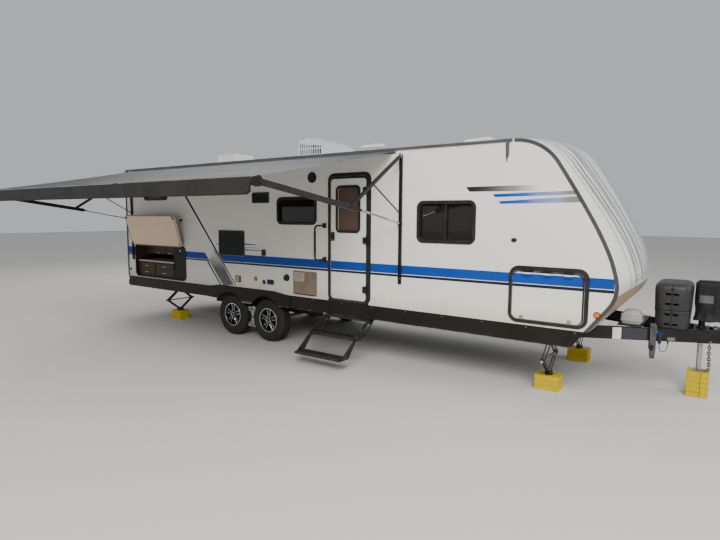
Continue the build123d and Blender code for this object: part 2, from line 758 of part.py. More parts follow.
# Gas bottle cover: two moulded halves on the tray, with four pairs of vents in the right face.
gas_half_y = 330
gas_z = (rail_top + tray_thick, 1350)
gas_skin = 10
gas_corner = 120
gas_shoulder = 45
gas_vent_z = (905, 1030, 1140, 1240)
gas_vent = (70, 16)
gas_vent_offset = 48
inside_half = gas_half_y - gas_skin
gas_cover = block(gas_x[0] - gas_skin, gas_x[1] + gas_skin, -gas_half_y, gas_half_y, *gas_z)
gas_cover = fillet(gas_cover.edges().filter_by(Axis.Z), gas_corner)
gas_cover = chamfer(gas_cover.faces().sort_by(Axis.Z)[-1].edges(), gas_shoulder)
gas_inside = block(gas_x[0], gas_x[1], -inside_half, inside_half, gas_z[0] - 1, gas_z[1] - gas_skin)
gas_inside = fillet(gas_inside.edges().filter_by(Axis.Z), gas_corner - gas_skin)
gas_cover -= chamfer(gas_inside.faces().sort_by(Axis.Z)[-1].edges(), gas_shoulder - gas_skin / 2)
gas_middle_x = (gas_x[0] + gas_x[1]) / 2
for vent_z in gas_vent_z:
    for side in (-1, 1):
        vent = Pos(gas_middle_x + side * gas_vent_offset, 0, vent_z) * (Plane.XZ * SlotOverall(*gas_vent))
        gas_cover -= extrude(vent, amount=gas_half_y + gas_skin, both=True, dir=(0, 1, 0))
save("gas_bottle_cover", gas_cover)

# Battery box with its lid, strapped to the rear tray.
battery_y = (-300, -110)
battery_inset = 20
lid_lap = 10
lid_z = (rail_top + 140, rail_top + 165)
box_x = (battery_x[0] + battery_inset, battery_x[1] - battery_inset / 2)
battery_box = block(*box_x, *battery_y, rail_top + tray_thick, lid_z[0])
battery_box += block(box_x[0] - lid_lap, box_x[1] + lid_lap, battery_y[0] - lid_lap,
                     battery_y[1] + lid_lap, *lid_z)
save("battery_box", battery_box)

# Axles: two straight tubes with spindles, brake plates and the pads that the springs sit on.
spring_y = rail_y - rail_width / 2
tyre_half = tyre_width / 2
wheel_y = track / 2
brake_plate_y = wheel_y - 96
spindle_end_y = wheel_y + 24
pad_top = tyre_radius + axle_tube + 8
axles = []
for x in axle_x:
    axle = rod((x, -brake_plate_y, tyre_radius), (x, brake_plate_y, tyre_radius), axle_tube)
    axle += rod((x, -spindle_end_y, tyre_radius), (x, spindle_end_y, tyre_radius), spindle_radius)
    for sign in (-1, 1):
        axle += rod((x, sign * (brake_plate_y - 6), tyre_radius), (x, sign * brake_plate_y, tyre_radius), 140)
        axle += block(x - 40, x + 40, sign * (spring_y - 26), sign * (spring_y + 26), tyre_radius, pad_top)
        axle += block(x - 55, x + 55, sign * (spring_y - 30), sign * (spring_y + 30),
                      tyre_radius - axle_tube - 10, tyre_radius - axle_tube + 2)
    axles.append(axle)
save("axles", axles)

# Leaf springs: three leaves on each pad, hung between two hangers and a rocking equaliser.
# Columns: share of the half length, how far the leaf lies below the main leaf.
leaf_rows = ((1.0, 0), (0.72, 1), (0.45, 2))
leaf_thick = 8
leaf_width = 44
leaf_half = 330
leaf_sag = 62
eye_radius = 16
leaf_radius = (leaf_half ** 2 + leaf_sag ** 2) / (2 * leaf_sag)
main_leaf_z = pad_top + 3 * leaf_thick
eye_z = main_leaf_z + leaf_sag


def leaf(x, y, share, below):
    """One leaf: an arc strip whose lowest point is over the axle."""
    angle = share * atan2(leaf_half, leaf_radius - leaf_sag)
    centre_z = main_leaf_z + leaf_radius
    inner = leaf_radius + below * leaf_thick
    outer = inner + leaf_thick
    rim_points = []
    for radius in (inner, outer):
        rim_points.append([(x + radius * sin(a), y, centre_z - radius * cos(a)) for a in (-angle, 0, angle)])
    near, far = rim_points
    ends = [Line(near[0], far[0]), Line(near[2], far[2])]
    face = make_face([ThreePointArc(*near), ThreePointArc(*far)] + ends)
    return extrude(face, amount=leaf_width, dir=(0, 1, 0))


def spring_side(sign):
    """One side's springs, hangers and equaliser as one welded and pinned group."""
    y0 = sign * spring_y - leaf_width / 2
    y1 = y0 + leaf_width
    group = None
    for x in axle_x:
        for share, below in leaf_rows:
            strip = leaf(x, y0, share, below)
            group = strip if group is None else group + strip
        for end in (-1, 1):
            group += rod((x + end * leaf_half, y0, eye_z), (x + end * leaf_half, y1, eye_z), eye_radius)
    front_x = axle_x[0] + leaf_half
    back_x = axle_x[1] - leaf_half
    middle_x = (axle_x[0] + axle_x[1]) / 2
    inner_eyes = (axle_x[0] - leaf_half, axle_x[1] + leaf_half)
    for plate_y in (y0 - 7, y1 + 1):
        for x in (front_x, back_x):
            group += prism_xz([(x - 60, rail_bottom), (x + 60, rail_bottom),
                               (x + 24, eye_z - 24), (x - 24, eye_z - 24)], plate_y, plate_y + 6)
        group += prism_xz([(middle_x - 70, rail_bottom), (middle_x + 70, rail_bottom),
                           (middle_x + 30, eye_z + 50), (middle_x - 30, eye_z + 50)], plate_y, plate_y + 6)
    for plate_y in (y0 - 1, y1 - 5):
        group += prism_xz([(inner_eyes[1] - 30, eye_z - 20), (middle_x, eye_z + 110),
                           (inner_eyes[0] + 30, eye_z - 20)], plate_y, plate_y + 6)
    for x, z in ((front_x, eye_z), (back_x, eye_z), (inner_eyes[0], eye_z), (inner_eyes[1], eye_z),
                 (middle_x, eye_z + 70)):
        group += rod((x, y0 - 14, z), (x, y1 + 14, z), 9)
    return group


save("leaf_springs", [spring_side(-1), spring_side(1)])

# Wheels: a tyre with rounded shoulders and an alloy rim with five pairs of spokes.
bead_half = 85
bead_straight = 206
# Columns: how far in from the tread's radius, how far in from the tyre's half width.
tyre_profile = ((118, 8), (87, 0), (47, 2), (22, 10), (8, 22), (3, 40), (0, 66))
rim_barrel = 9
lip_radius = 203
hub_radius = 62
spoke_count = 5
spoke_gap = 15
drum_radius = 145


def wheel_tyre():
    """The tyre about the Y axis, centred on the wheel's middle plane."""
    half = [(rim_radius, bead_half), (bead_straight, bead_half)]
    half += [(tyre_radius - inward, tyre_half - inset) for inward, inset in tyre_profile]
    outline = half + [(radius, -y) for radius, y in reversed(half)]
    profile = make_face(Polyline(*[(radius, y, 0) for radius, y in outline], close=True))
    return revolve(profile, Axis.Y, 360)


def wheel_rim():
    """The rim about the Y axis, its face on the negative Y side."""
    barrel_outer = rim_radius - seat_gap
    barrel = rod((0, -bead_half, 0), (0, bead_half, 0), barrel_outer)
    barrel -= rod((0, -bead_half - 1, 0), (0, bead_half + 1, 0), barrel_outer - rim_barrel)
    for sign in (-1, 1):
        lip = rod((0, sign * (bead_half + seat_gap), 0), (0, sign * (bead_half + 9), 0), lip_radius)
        lip -= rod((0, sign * (bead_half - 5), 0), (0, sign * (bead_half + 12), 0), barrel_outer - rim_barrel)
        lip += rod((0, sign * (bead_half - 5), 0), (0, sign * (bead_half + 1), 0), barrel_outer) - rod(
            (0, sign * (bead_half - 6), 0), (0, sign * (bead_half + 2), 0), barrel_outer - rim_barrel)
        barrel += lip
    face_y = -bead_half + 6
    rim = barrel + rod((0, face_y, 0), (0, -20, 0), hub_radius)
    spoke_end = barrel_outer - rim_barrel + 2
    spoke = prism_xz([(spoke_gap - 9, 40), (spoke_gap + 13, 40), (spoke_gap + 25, spoke_end),
                      (spoke_gap + 7, spoke_end)], face_y + 3, face_y + 27)
    for turn in range(spoke_count):
        for side in (spoke, mirror(spoke, about=Plane.YZ)):
            rim += side.rotate(Axis.Y, 360 / spoke_count * turn)
    drum = rod((0, -20, 0), (0, 92, 0), drum_radius) - rod((0, 0, 0), (0, 93, 0), drum_radius - 12)
    rim += rod((0, -20, 0), (0, 60, 0), 40)
    rim += drum
    rim += rod((0, face_y - 12, 0), (0, face_y, 0), 34)
    return rim - rod((0, -26, 0), (0, 100, 0), spindle_radius + pin_gap)


tyre = wheel_tyre()
rim = wheel_rim()
for place, x in (("front", axle_x[0]), ("rear", axle_x[1])):
    save(f"{place}_right_tyre", Pos(x, -wheel_y, tyre_radius) * tyre)
    save(f"{place}_right_rim", Pos(x, -wheel_y, tyre_radius) * rim)
    save(f"{place}_left_tyre", mirror_left(Pos(x, -wheel_y, tyre_radius) * tyre))
    save(f"{place}_left_rim", mirror_left(Pos(x, -wheel_y, tyre_radius) * rim))

# Wheel chocks: an expanding X clamped between the two tyres on each side.
chock_gap = 0.8
chock_half_y = 40
chock_x = (axle_x[0] + axle_x[1]) / 2
chock_reach = (axle_x[0] - axle_x[1]) / 2 + 60
tyre_clear = tyre_radius + chock_gap


def chock():
    """The right chock: two pads shaped to the tyres, two crossed links and the screw."""
    y0, y1 = -wheel_y - chock_half_y, -wheel_y + chock_half_y
    pads = None
    for z0, z1 in ((tyre_radius + 95, tyre_radius + 170), (tyre_radius - 170, tyre_radius - 95)):
        pad = block(chock_x - chock_reach, chock_x + chock_reach, y0, y1, z0, z1)
        for x in axle_x:
            pad -= rod((x, y0 - 1, tyre_radius), (x, y1 + 1, tyre_radius), tyre_clear)
        middle = [s for s in pad.solids() if abs(s.center().X - chock_x) < 60]
        pads = middle[0] if pads is None else pads + middle[0]
    links = None
    for sign in (-1, 1):
        ends = [(-50, -130), (-24, -138), (50, 130), (24, 138)]
        link = prism_xz([(chock_x + sign * dx, tyre_radius + dz) for dx, dz in ends], y0 + 10, y0 + 16)
        links = link if links is None else links + link
    screw = rod((chock_x, -wheel_y, tyre_radius - 160), (chock_x, -wheel_y, tyre_radius + 190), 10)
    nut = block(chock_x - 12, chock_x + 12, y0 + 10, -wheel_y, tyre_radius - 12, tyre_radius + 12)
    return pads + links + screw + nut


right_chock = chock()
save("wheel_chocks", [right_chock, mirror_left(right_chock)])

# Skirts: the black sheet below each side wall, with the two wheel arches cut out of it.
skirt_front_x = nose_floor_point(shell_thick)[0]
skirt_inset = 4
arch_lip = 10
arch_half = arch_radius + 151
arch_step = 36
arch_plate = 5
skirt = prism_xz([(rear_x, wall_bottom), (skirt_front_x, wall_bottom), (skirt_front_x - 150, skirt_bottom),
                  (rear_x, skirt_bottom)], -side_y + skirt_inset, -side_y + skirt_inset + skirt_thick)
skirt += prism_xz([(axle_x[1] - arch_half, skirt_bottom), (axle_x[1] - arch_half, wall_bottom - 6),
                   (axle_x[1] - 250, wall_bottom + arch_step), (axle_x[0] + 220, wall_bottom + arch_step),
                   (axle_x[0] + arch_half, wall_bottom - 6), (axle_x[0] + arch_half, skirt_bottom),
                   (chock_x + 110, skirt_bottom - 28), (chock_x - 110, skirt_bottom - 28)],
                  -side_y - arch_plate, -side_y)
skirt += block(axle_x[1] - arch_half, axle_x[0] + arch_half, -side_y - 1, -side_y + skirt_inset + 1,
               skirt_bottom, wall_bottom - 6)
for x in axle_x:
    skirt -= rod((x, -side_y - 30, tyre_radius), (x, -side_y + 30, tyre_radius), arch_radius)
    lip = rod((x, -side_y - arch_plate, tyre_radius), (x, -side_y + 40, tyre_radius), arch_radius + arch_lip)
    lip -= rod((x, -side_y - arch_plate - 1, tyre_radius), (x, -side_y + 41, tyre_radius), arch_radius)
    skirt += lip & block(x - 500, x + 500, -side_y - 6, -side_y + 41, skirt_bottom, wall_bottom)
save("skirts", [skirt, mirror_left(skirt)])

# Mouldings: the grey corner strip round the nose and up the rear corners of each side wall.
moulding_width = 40
moulding_proud = 6


def nose_moulding():
    """The right strip: follows the nose from the roof line to the foot of the wall."""
    y0 = -side_y - moulding_proud
    loops = []
    for inset in (0, moulding_width):
        start, steps, heading = nose_path(inset)
        loops.append((start, steps, nose_floor_point(inset)))
    (start_a, steps_a, foot_a), (start_b, steps_b, foot_b) = loops
    edges = edges_along(start_a, steps_a, y0) + edges_along(start_b, steps_b, y0)
    edges.append(Line((start_a[0], y0, start_a[1]), (start_b[0], y0, start_b[1])))
    end_a, end_b = steps_a[-1][1], steps_b[-1][1]
    edges.append(Line((end_a[0], y0, end_a[1]), (foot_a[0], y0, foot_a[1])))
    edges.append(Line((foot_a[0], y0, foot_a[1]), (foot_b[0], y0, foot_b[1])))
    edges.append(Line((end_b[0], y0, end_b[1]), (foot_b[0], y0, foot_b[1])))
    return extrude(make_face(edges), amount=moulding_proud, dir=(0, 1, 0))


rear_strip = block(rear_x - moulding_proud, rear_x + moulding_width, -side_y - moulding_proud,
                   -side_y + wall_thick, wall_bottom, wall_top)
rear_strip -= block(rear_x, rear_x + moulding_width + 1, -side_y, -side_y + wall_thick + 1,
                    wall_bottom - 1, wall_top + 1)
right_mouldings = [nose_moulding(), rear_strip]
save("corner_mouldings", right_mouldings + [mirror_left(m) for m in right_mouldings])

# Drip rails: dark gutters along both edges of the roof, with a spout at each end.
drip_height = 34
drip_depth = 16
spout_drop = 190
drip_x0, drip_x1 = rear_x + moulding_width + 2, nose_start_x - 20
drip_wall = 3
spout_width = 26
gutter_z = roof_edge - drip_height + 8
outer_drip_y = -side_y - drip_depth
drip = block(drip_x0, drip_x1, outer_drip_y, -side_y, roof_edge - drip_height, roof_edge)
drip -= block(drip_x0 - 1, drip_x1 + 1, outer_drip_y + drip_wall, -side_y - drip_wall,
              gutter_z, roof_edge + 1)
for x in (drip_x0 + 60, drip_x1 - 60):
    drip += block(x, x + spout_width, outer_drip_y - 12, -side_y - drip_wall,
                  roof_edge - spout_drop, gutter_z)
save("drip_rails", [drip, mirror_left(drip)])

# Wall fittings of the right side: vents, hatches, the speaker, inlets and the handle brackets.
# Columns: rear x, front x, bottom z, top z, corner radius, proud of the wall.
flat_fittings = (
    (-7100, -6957, 962, 1073, 14, 10),
    (-6325, -6174, 983, 1060, 10, 8),
    (-6431, -6354, 1447, 1547, 8, 24),
)
heater = (-5744, -5268, 876, 1245, 20, 12)
fridge_vent = (rear_x + 2882, rear_x + 3528, 1416, 1842, 14, 14)
range_vent = (-6642, -6260, 2304, 2471, 14, 16)
# Columns: x, z, radius, proud.
round_fittings = (
    (-6403, 1009, 26, 10),
    (-5889, 1120, 48, 30),
    (-5353, 2672, 80, 14),
)
fittings = []
for x0, x1, z0, z1, radius, proud in flat_fittings:
    fittings.append(rounded_panel(x0, x1, z0, z1, radius, -side_y, -side_y - proud))
for x, z, radius, proud in round_fittings:
    fittings.append(rod((x, -side_y, z), (x, -side_y - proud, z), radius))


def louvred(x0, x1, z0, z1, radius, proud, slat_count, columns=1):
    """A vent cover with rows of slanted slots."""
    cover = rounded_panel(x0, x1, z0, z1, radius, -side_y, -side_y - proud)
    border = 26
    pitch = (z1 - z0 - 2 * border) / slat_count
    width = (x1 - x0 - 2 * border - (columns - 1) * 20) / columns
    for column in range(columns):
        left = x0 + border + column * (width + 20)
        for row in range(slat_count):
            low = z0 + border + pitch * row
            cover -= prism_yz([(-side_y - proud - 1, low + 2), (-side_y - proud - 1, low + pitch * 0.62),
                               (-side_y - 4, low + pitch * 0.92), (-side_y - 4, low + pitch * 0.32)],
                              left, left + width)
    return cover


fittings.append(louvred(*fridge_vent, 10))
fittings.append(louvred(*range_vent, 3))

# Water heater door: a pressed panel with a rim, a sunk field and the slot of its exhaust.
heater_x0, heater_x1, heater_z0, heater_z1, heater_corner, heater_proud = heater
heater_face = -side_y - heater_proud
heater_rim = 24
field = (heater_x0 + heater_rim, heater_x1 - heater_rim, heater_z0 + heater_rim, heater_z1 - heater_rim)
exhaust = (heater_x0 + 150, heater_x1 - 60, heater_z1 - 110, heater_z1 - 60)
heater_cover = rounded_panel(*heater[:5], -side_y, heater_face)
heater_cover -= rounded_panel(*field, heater_corner - 6, heater_face - 1, heater_face + 4)
heater_cover -= rounded_panel(*exhaust, 8, heater_face - 1, -side_y - 2)
save("heater_cover", heater_cover)

# Grab handle beside the entry door: it swings on two upright sleeves between fixed ears.
handle_x = -5107
handle_y = -side_y - 36
handle_reach = 200
handle_low, handle_high = 1455, 1960
handle_tube = 14
sleeve_radius = 17
sleeve_half = 26
ear_thick = 8
ear_half = 18
for z in (handle_low, handle_high):
    ears = block(handle_x - 24, handle_x + 24, -side_y, -side_y - 8, z - sleeve_half - ear_thick - 4,
                 z + sleeve_half + ear_thick + 4)
    for sign in (-1, 1):
        z_near = z + sign * (sleeve_half + seat_gap)
        z_far = z_near + sign * ear_thick
        ears += block(handle_x - ear_half, handle_x + ear_half, handle_y, -side_y, z_near, z_far)
        ears += rod((handle_x, handle_y, z_near), (handle_x, handle_y, z_far), ear_half)
    fittings.append(ears)
save("wall_fittings", fittings)
grip_y = handle_y - handle_reach
handle_path = FilletPolyline((handle_x, handle_y, handle_low), (handle_x, grip_y, handle_low),
                             (handle_x, grip_y, handle_high), (handle_x, handle_y, handle_high), radius=60)
handle_section = Plane(origin=(handle_x, handle_y, handle_low), z_dir=(0, -1, 0)) * Circle(handle_tube)
grab_handle = sweep(handle_section, path=handle_path)
for z in (handle_low, handle_high):
    grab_handle += Pos(handle_x, handle_y, z) * Cylinder(sleeve_radius, 2 * sleeve_half)
save("grab_handle", grab_handle)

# Lights: amber and red side markers, front clearance lamps on the cap and the tail lamps.
lamp_proud = 14
lights = []
for x, z, radius in ((-1320, 1045, 24), (-6597, 1051, 24), (rear_x + 90, 986, 24)):
    lens = rod((x, -side_y, z), (x, -side_y - lamp_proud, z), radius)
    lights += [lens, mirror_left(lens)]
tail_z = (1180, 1330)
for sign in (-1, 1):
    lights.append(block(rear_x - 30, rear_x, sign * (side_y - 230), sign * (side_y - 60), *tail_z))
for y in (-900, -150, 0, 150, 900):
    lights.append(block(rear_x - 18, rear_x, y - 45, y + 45, wall_top - 90, wall_top - 60))
save("lights", lights)

# Awning, rolled out as in the photo. Each end has a wall channel, an arm in two tubes, a
# rafter to the arm's joint and a brace. The roller hangs between the two arms' ends.
awning_x = (rear_x + 220, -3800)
channel_size = (44, 26)
channel_z = (1190, 2915)
arm_foot = (-side_y - 14, 2005)
arm_joint = (-side_y - 980, 2182)
arm_end = (-side_y - 2605, 2425)
rafter_top = (-side_y - 26, 2905)
rafter_foot = (-side_y - 1150, 2207)
brace_top = (-side_y - 680, 2499)
brace_foot = (-side_y - 30, 2140)
roller_radius = 42
arm_tube = (34, 30)
rod_tube = 13
rafter_tube = (26, 22)
roller_head = 24
channel_wall = 6
channel_end = 30
channel_half = channel_size[0] / 2
channel_face = -side_y - channel_size[1]
arms = []
for x in awning_x:
    arm = block(x - channel_half, x + channel_half, channel_face, -side_y, *channel_z)
    arm -= block(x - channel_half + channel_wall, x + channel_half - channel_wall, channel_face - 1,
                 -side_y - 8, channel_z[0] + channel_end, channel_z[1] - channel_end)
    arm += rod((x, *arm_foot), (x, *arm_joint), rod_tube)
    arm += bar((x, *arm_joint), (x, *arm_end), *arm_tube)
    arm += bar((x, *rafter_top), (x, *rafter_foot), *rafter_tube)
    arm += bar((x, *brace_top), (x, *brace_foot), 14, 14)
    foot_y, foot_height = arm_foot[0] - 12, arm_foot[1]
    arm += rod((x - 26, foot_y, foot_height), (x + 26, foot_y, foot_height), 20)
    arm += rod((x - roller_head, *arm_end), (x + roller_head, *arm_end), roller_radius + 12)
    arms.append(arm)
save("awning_arms", arms)
roller_gap = roller_head + seat_gap
roller = rod((awning_x[0] + roller_gap, *arm_end), (awning_x[1] - roller_gap, *arm_end), roller_radius)
save("awning_roller", roller)

# Awning fabric and its hanging valance: soft sheets, modelled plain.
fabric_x = (awning_x[0] + 90, awning_x[1] - 110)
fabric_thick = 8
fabric_top = (-side_y - drip_depth - 14, 2962)
fabric_end = (arm_end[0] - 6, arm_end[1] + roller_radius + fabric_thick + seat_gap)
fabric_upper = [fabric_top, fabric_end]
fabric_lower = [(y, z - fabric_thick) for y, z in reversed(fabric_upper)]
fabric = prism_yz(fabric_upper + fabric_lower, *fabric_x)
save("awning_fabric", fabric)
valance_drop = 165
valance_y = arm_end[0] - roller_radius - seat_gap
valance = block(*fabric_x, valance_y - 6, valance_y, arm_end[1] + 40 - valance_drop, arm_end[1] + 40)
save("awning_valance", valance)

# The rail that the fabric's bead slides in, below the drip rail.
awning_rail = block(fabric_x[0] - 20, fabric_x[1] + 20, -side_y - 14, -side_y, 2936, 2966)
save("awning_rail", awning_rail)

# Roof equipment: the air conditioner's shroud, two vent lids, the plumbing vents and the aerial.


def roof_z(y):
    """Height of the roof's upper surface at y."""
    radius = (side_y ** 2 + roof_crown ** 2) / (2 * roof_crown)
    return roof_edge + roof_crown - (radius - (radius ** 2 - y ** 2) ** 0.5)


ac_x = (-6430, -5630)
ac_half = 330
ac_top = 3420
ac_low = roof_edge + roof_crown + seat_gap
ac_rear, ac_front = ac_x
# The side outline: each row is an arc's start, middle and end, as X and drop below the top.
shroud_arcs = (
    ((ac_front + 40, ac_top - ac_low), (ac_front - 90, 150), (ac_front - 300, 45)),
    ((ac_front - 300, 45), (ac_front - 440, 8), (ac_rear + 200, 0)),
    ((ac_rear + 45, 12), (ac_rear + 16, 22), (ac_rear + 6, 50)),
)


def shroud_point(x, drop):
    return x, -ac_half, ac_top - drop


rear_foot = (ac_rear - 25, ac_top - ac_low)
outline = [ThreePointArc(*[shroud_point(*point) for point in arc]) for arc in shroud_arcs]
for start, end in ((rear_foot, shroud_arcs[0][0]), (shroud_arcs[1][2], shroud_arcs[2][0]),
                   (shroud_arcs[2][2], rear_foot)):
    outline.append(Line(shroud_point(*start), shroud_point(*end)))
shroud = extrude(make_face(outline), amount=2 * ac_half, dir=(0, 1, 0))
louvre_size = (32, 84)
louvre_pitch = (50, 105)
louvre_start = (34, 75)
louvre_depth = 18
for row in range(2):
    for column in range(6):
        x0 = ac_rear + louvre_start[0] + column * louvre_pitch[0]
        z0 = ac_low + louvre_start[1] + row * louvre_pitch[1]
        z1 = z0 + louvre_size[1] - row * column * 8
        slot = rounded_panel(x0, x0 + louvre_size[0], z0, z1, 6, -ac_half - 1, -ac_half + louvre_depth)
        shroud = shroud - slot - mirror_left(slot)
save("air_conditioner", shroud)

vent_covers = []
roof_seat = roof_edge + roof_crown + seat_gap
# Columns: rear x, front x, half width, top.
vent_lids = ((rear_x + 1690, rear_x + 2280, 250, 3300), (-3420, -2900, 220, 3210))
lid_slot = 16
lid_slot_pitch = 34
for x0, x1, half, top in vent_lids:
    lid = prism_xz([(x0, roof_seat), (x1, roof_seat), (x1 - 70, top - 14), (x1 - 110, top),
                    (x0 + 90, top - 16), (x0 + 50, top - 40)], -half, half)
    for row in range(3):
        z0 = roof_seat + lid_slot_pitch * (row + 1)
        lid -= block(x0 - 1, x0 + 60 + row * 4, -half + 40, half - 40, z0, z0 + lid_slot)
    vent_covers.append(lid)
pipe_vent_radius = 55
pipe_vent_height = 60
for x, y in ((rear_x + 2830, 420), (rear_x + 1080, 380)):
    foot = roof_z(y - pipe_vent_radius) + seat_gap
    vent_covers.append(rod((x, y, foot), (x, y, foot + pipe_vent_height), pipe_vent_radius))
save("roof_vents", vent_covers)

aerial_x = -5080
mast_height = 150
wing_size = (460, 110)
wing_thick = 46
aerial = rod((aerial_x, 0, roof_seat), (aerial_x, 0, roof_seat + 30), 60)
aerial += rod((aerial_x, 0, roof_seat), (aerial_x, 0, roof_seat + mast_height), 16)
wing = Plane(origin=(aerial_x, 0, roof_seat + mast_height)) * SlotOverall(*wing_size)
wing = extrude(wing, amount=wing_thick, dir=(0, 0, 1))
aerial += fillet(wing.faces().sort_by(Axis.Z)[-1].edges(), 20)
save("tv_aerial", aerial)

# Stabilisers: four screw jacks of four arms each, wound down onto their blocks.
stabiliser_x = (-1900, rear_x + 1130)
stabiliser_y = rail_y - 30
block_tier = 60
block_height = 180
stab_top = rail_bottom
stab_low = block_height + 30
stab_high = 600
stab_mid = (stab_low + stab_high) / 2
stab_half = 280
pivot_half = 25
arm_plate = 5


pin_half = 8
trunnion_half = 18
screw_radius = 10


def stabiliser(x, y):
    """One screw jack: bracket, foot, four arms of two plates each, pins, trunnions and screw."""
    jack = block(x - 45, x + 45, y - 70, y + 70, stab_top - 6, stab_top)
    jack += block(x - 45, x + 45, y - 60, y + 60, block_height, block_height + 6)
    for sign in (-1, 1):
        side = x + sign * 26
        for base_z, neck_z in ((stab_top, stab_high - 18), (block_height, stab_low + 18)):
            jack += prism_yz([(y - 60, base_z), (y + 60, base_z), (y + 45, neck_z), (y - 45, neck_z)],
                             side, side + sign * arm_plate)
        for side_sign in (-1, 1):
            outer = (y + side_sign * stab_half, stab_mid)
            inner_x = x + sign * 20
            for near_z, shift in ((stab_high, 0), (stab_low, -6)):
                near = (y + side_sign * pivot_half, near_z)
                arm_x = inner_x + sign * shift
                jack += bar((arm_x, *near), (arm_x, *outer), arm_plate, 34)
    for side_sign in (-1, 1):
        pin_y = y + side_sign * pivot_half
        for near_z in (stab_high, stab_low):
            jack += block(x - 36, x + 36, pin_y - pin_half, pin_y + pin_half,
                          near_z - pin_half, near_z + pin_half)
        nut_y = y + side_sign * stab_half
        jack += block(x - 26, x + 26, nut_y - trunnion_half, nut_y + trunnion_half,
                      stab_mid - trunnion_half, stab_mid + trunnion_half)
    screw_half = stab_half + 50
    jack += rod((x, y - screw_half, stab_mid), (x, y + screw_half, stab_mid), screw_radius)
    return jack


jacks = []
for x in stabiliser_x:
    for sign in (-1, 1):
        jacks.append(stabiliser(x, sign * stabiliser_y))
save("stabilisers", jacks)


def block_stack(x, y, height, half_x, half_y):
    """Levelling blocks: stacked square tiers with a groove between each two."""
    stack = block(x - half_x, x + half_x, y - half_y, y + half_y, 0, height)
    tiers = max(1, round(height / block_tier))
    for tier in range(1, tiers):
        z = height / tiers * tier
        ring = block(x - half_x - 1, x + half_x + 1, y - half_y - 1, y + half_y + 1, z - 3, z + 3)
        ring -= block(x - half_x + 6, x + half_x - 6, y - half_y + 6, y + half_y - 6, z - 4, z + 4)
        stack -= ring
    return stack


stacks = [block_stack(jack_x, 0, foot_z - seat_gap, 110, 110)]
for x in stabiliser_x:
    for sign in (-1, 1):
        stacks.append(block_stack(x, sign * stabiliser_y, block_height, 140, 110))
save("levelling_blocks", stacks)

# Entry steps: three treads. The upper two swing under the floor, the lowest folds onto them.
tread_thick = 30
# Columns: front edge y, top z.
treads = ((-side_y - 42, 632), (-side_y - 360, 420), (-side_y - 680, 190))
tread_depth = 205
side_plate = 6
step_x0, step_x1 = step_x
fold_pivot = (treads[1][0] + 30, treads[1][1] - 40)


def tread(front_y, top_z, x0, x1):
    """A tread with a rounded nose, folded edges and three grip ribs."""
    body = block(x0, x1, front_y, front_y + tread_depth, top_z - tread_thick, top_z)
    body = fillet(body.faces().sort_by(Axis.Y)[0].edges().filter_by(Axis.X), 10)
    body -= block(x0 - 1, x1 + 1, front_y + 14, front_y + tread_depth - 6, top_z - tread_thick - 1, top_z - 5)
    for rib in (40, 90, 140):
        body -= block(x0 + 40, x1 - 40, front_y + rib, front_y + rib + 18, top_z - 2, top_z + 1)
    return body


upper_steps = tread(*treads[0], step_x0 + side_plate, step_x1 - side_plate)
upper_steps += tread(*treads[1], step_x0 + side_plate, step_x1 - side_plate)
for x0, x1 in ((step_x0, step_x0 + side_plate), (step_x1 - side_plate, step_x1)):
    plate = prism_yz([(step_pivot[0] + 24, step_pivot[1] + 14), (treads[0][0] + 14, treads[0][1] - 4),
                      (treads[0][0] + 10, treads[0][1] - 32), (treads[1][0] + 6, treads[1][1] - 4),
                      (treads[1][0] + 6, fold_pivot[1] - 20),
                      (treads[1][0] + tread_depth, fold_pivot[1] - 20),
                      (step_pivot[0] + 24, step_pivot[1] - 50)], x0, x1)
    plate -= prism_yz([(treads[0][0] + 60, treads[0][1] - 60), (treads[1][0] + 140, treads[1][1] + 10),
                       (treads[1][0] + 210, treads[1][1] - 20), (step_pivot[0] - 30, step_pivot[1] - 70)],
                      x0 - 1, x1 + 1)
    plate -= rod((x0 - 1, *step_pivot), (x1 + 1, *step_pivot), step_pin + pin_gap)
    upper_steps += plate
    pin_sign = 1 if x0 > step_x0 else -1
    pin_base = x1 if pin_sign > 0 else x0
    upper_steps += rod((pin_base, *fold_pivot), (pin_base + pin_sign * 14, *fold_pivot), step_pin)
save("upper_steps", upper_steps)

leg_gap = 6
low_y, low_z = treads[2]
lower_step = tread(*treads[2], step_x0 - leg_gap, step_x1 + leg_gap)
for x0, sign in ((step_x0 - leg_gap, -1), (step_x1 + leg_gap, 1)):
    leg = prism_yz([(fold_pivot[0] + 22, fold_pivot[1] + 16), (fold_pivot[0] - 16, fold_pivot[1] + 20),
                    (low_y + 60, low_z + 6), (low_y + 2, low_z - 4), (low_y + 2, low_z - tread_thick),
                    (low_y + tread_depth, low_z - tread_thick), (fold_pivot[0] + 22, fold_pivot[1] - 20)],
                   x0, x0 + sign * side_plate)
    leg -= rod((x0 - 10, *fold_pivot), (x0 + 10, *fold_pivot), step_pin + pin_gap)
    lower_step += leg
save("lower_step", lower_step)
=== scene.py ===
# Travel caravan on its pitch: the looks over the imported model, in metres, in the model's frame.
# Zero is the centre of the ball socket, 0.7 above the ground. X points forward, Y to the left.
from math import cos, hypot, pi, radians, sin, tan
import bmesh
import bpy
from mathutils import Matrix, Vector
from mathutils.bvhtree import BVHTree


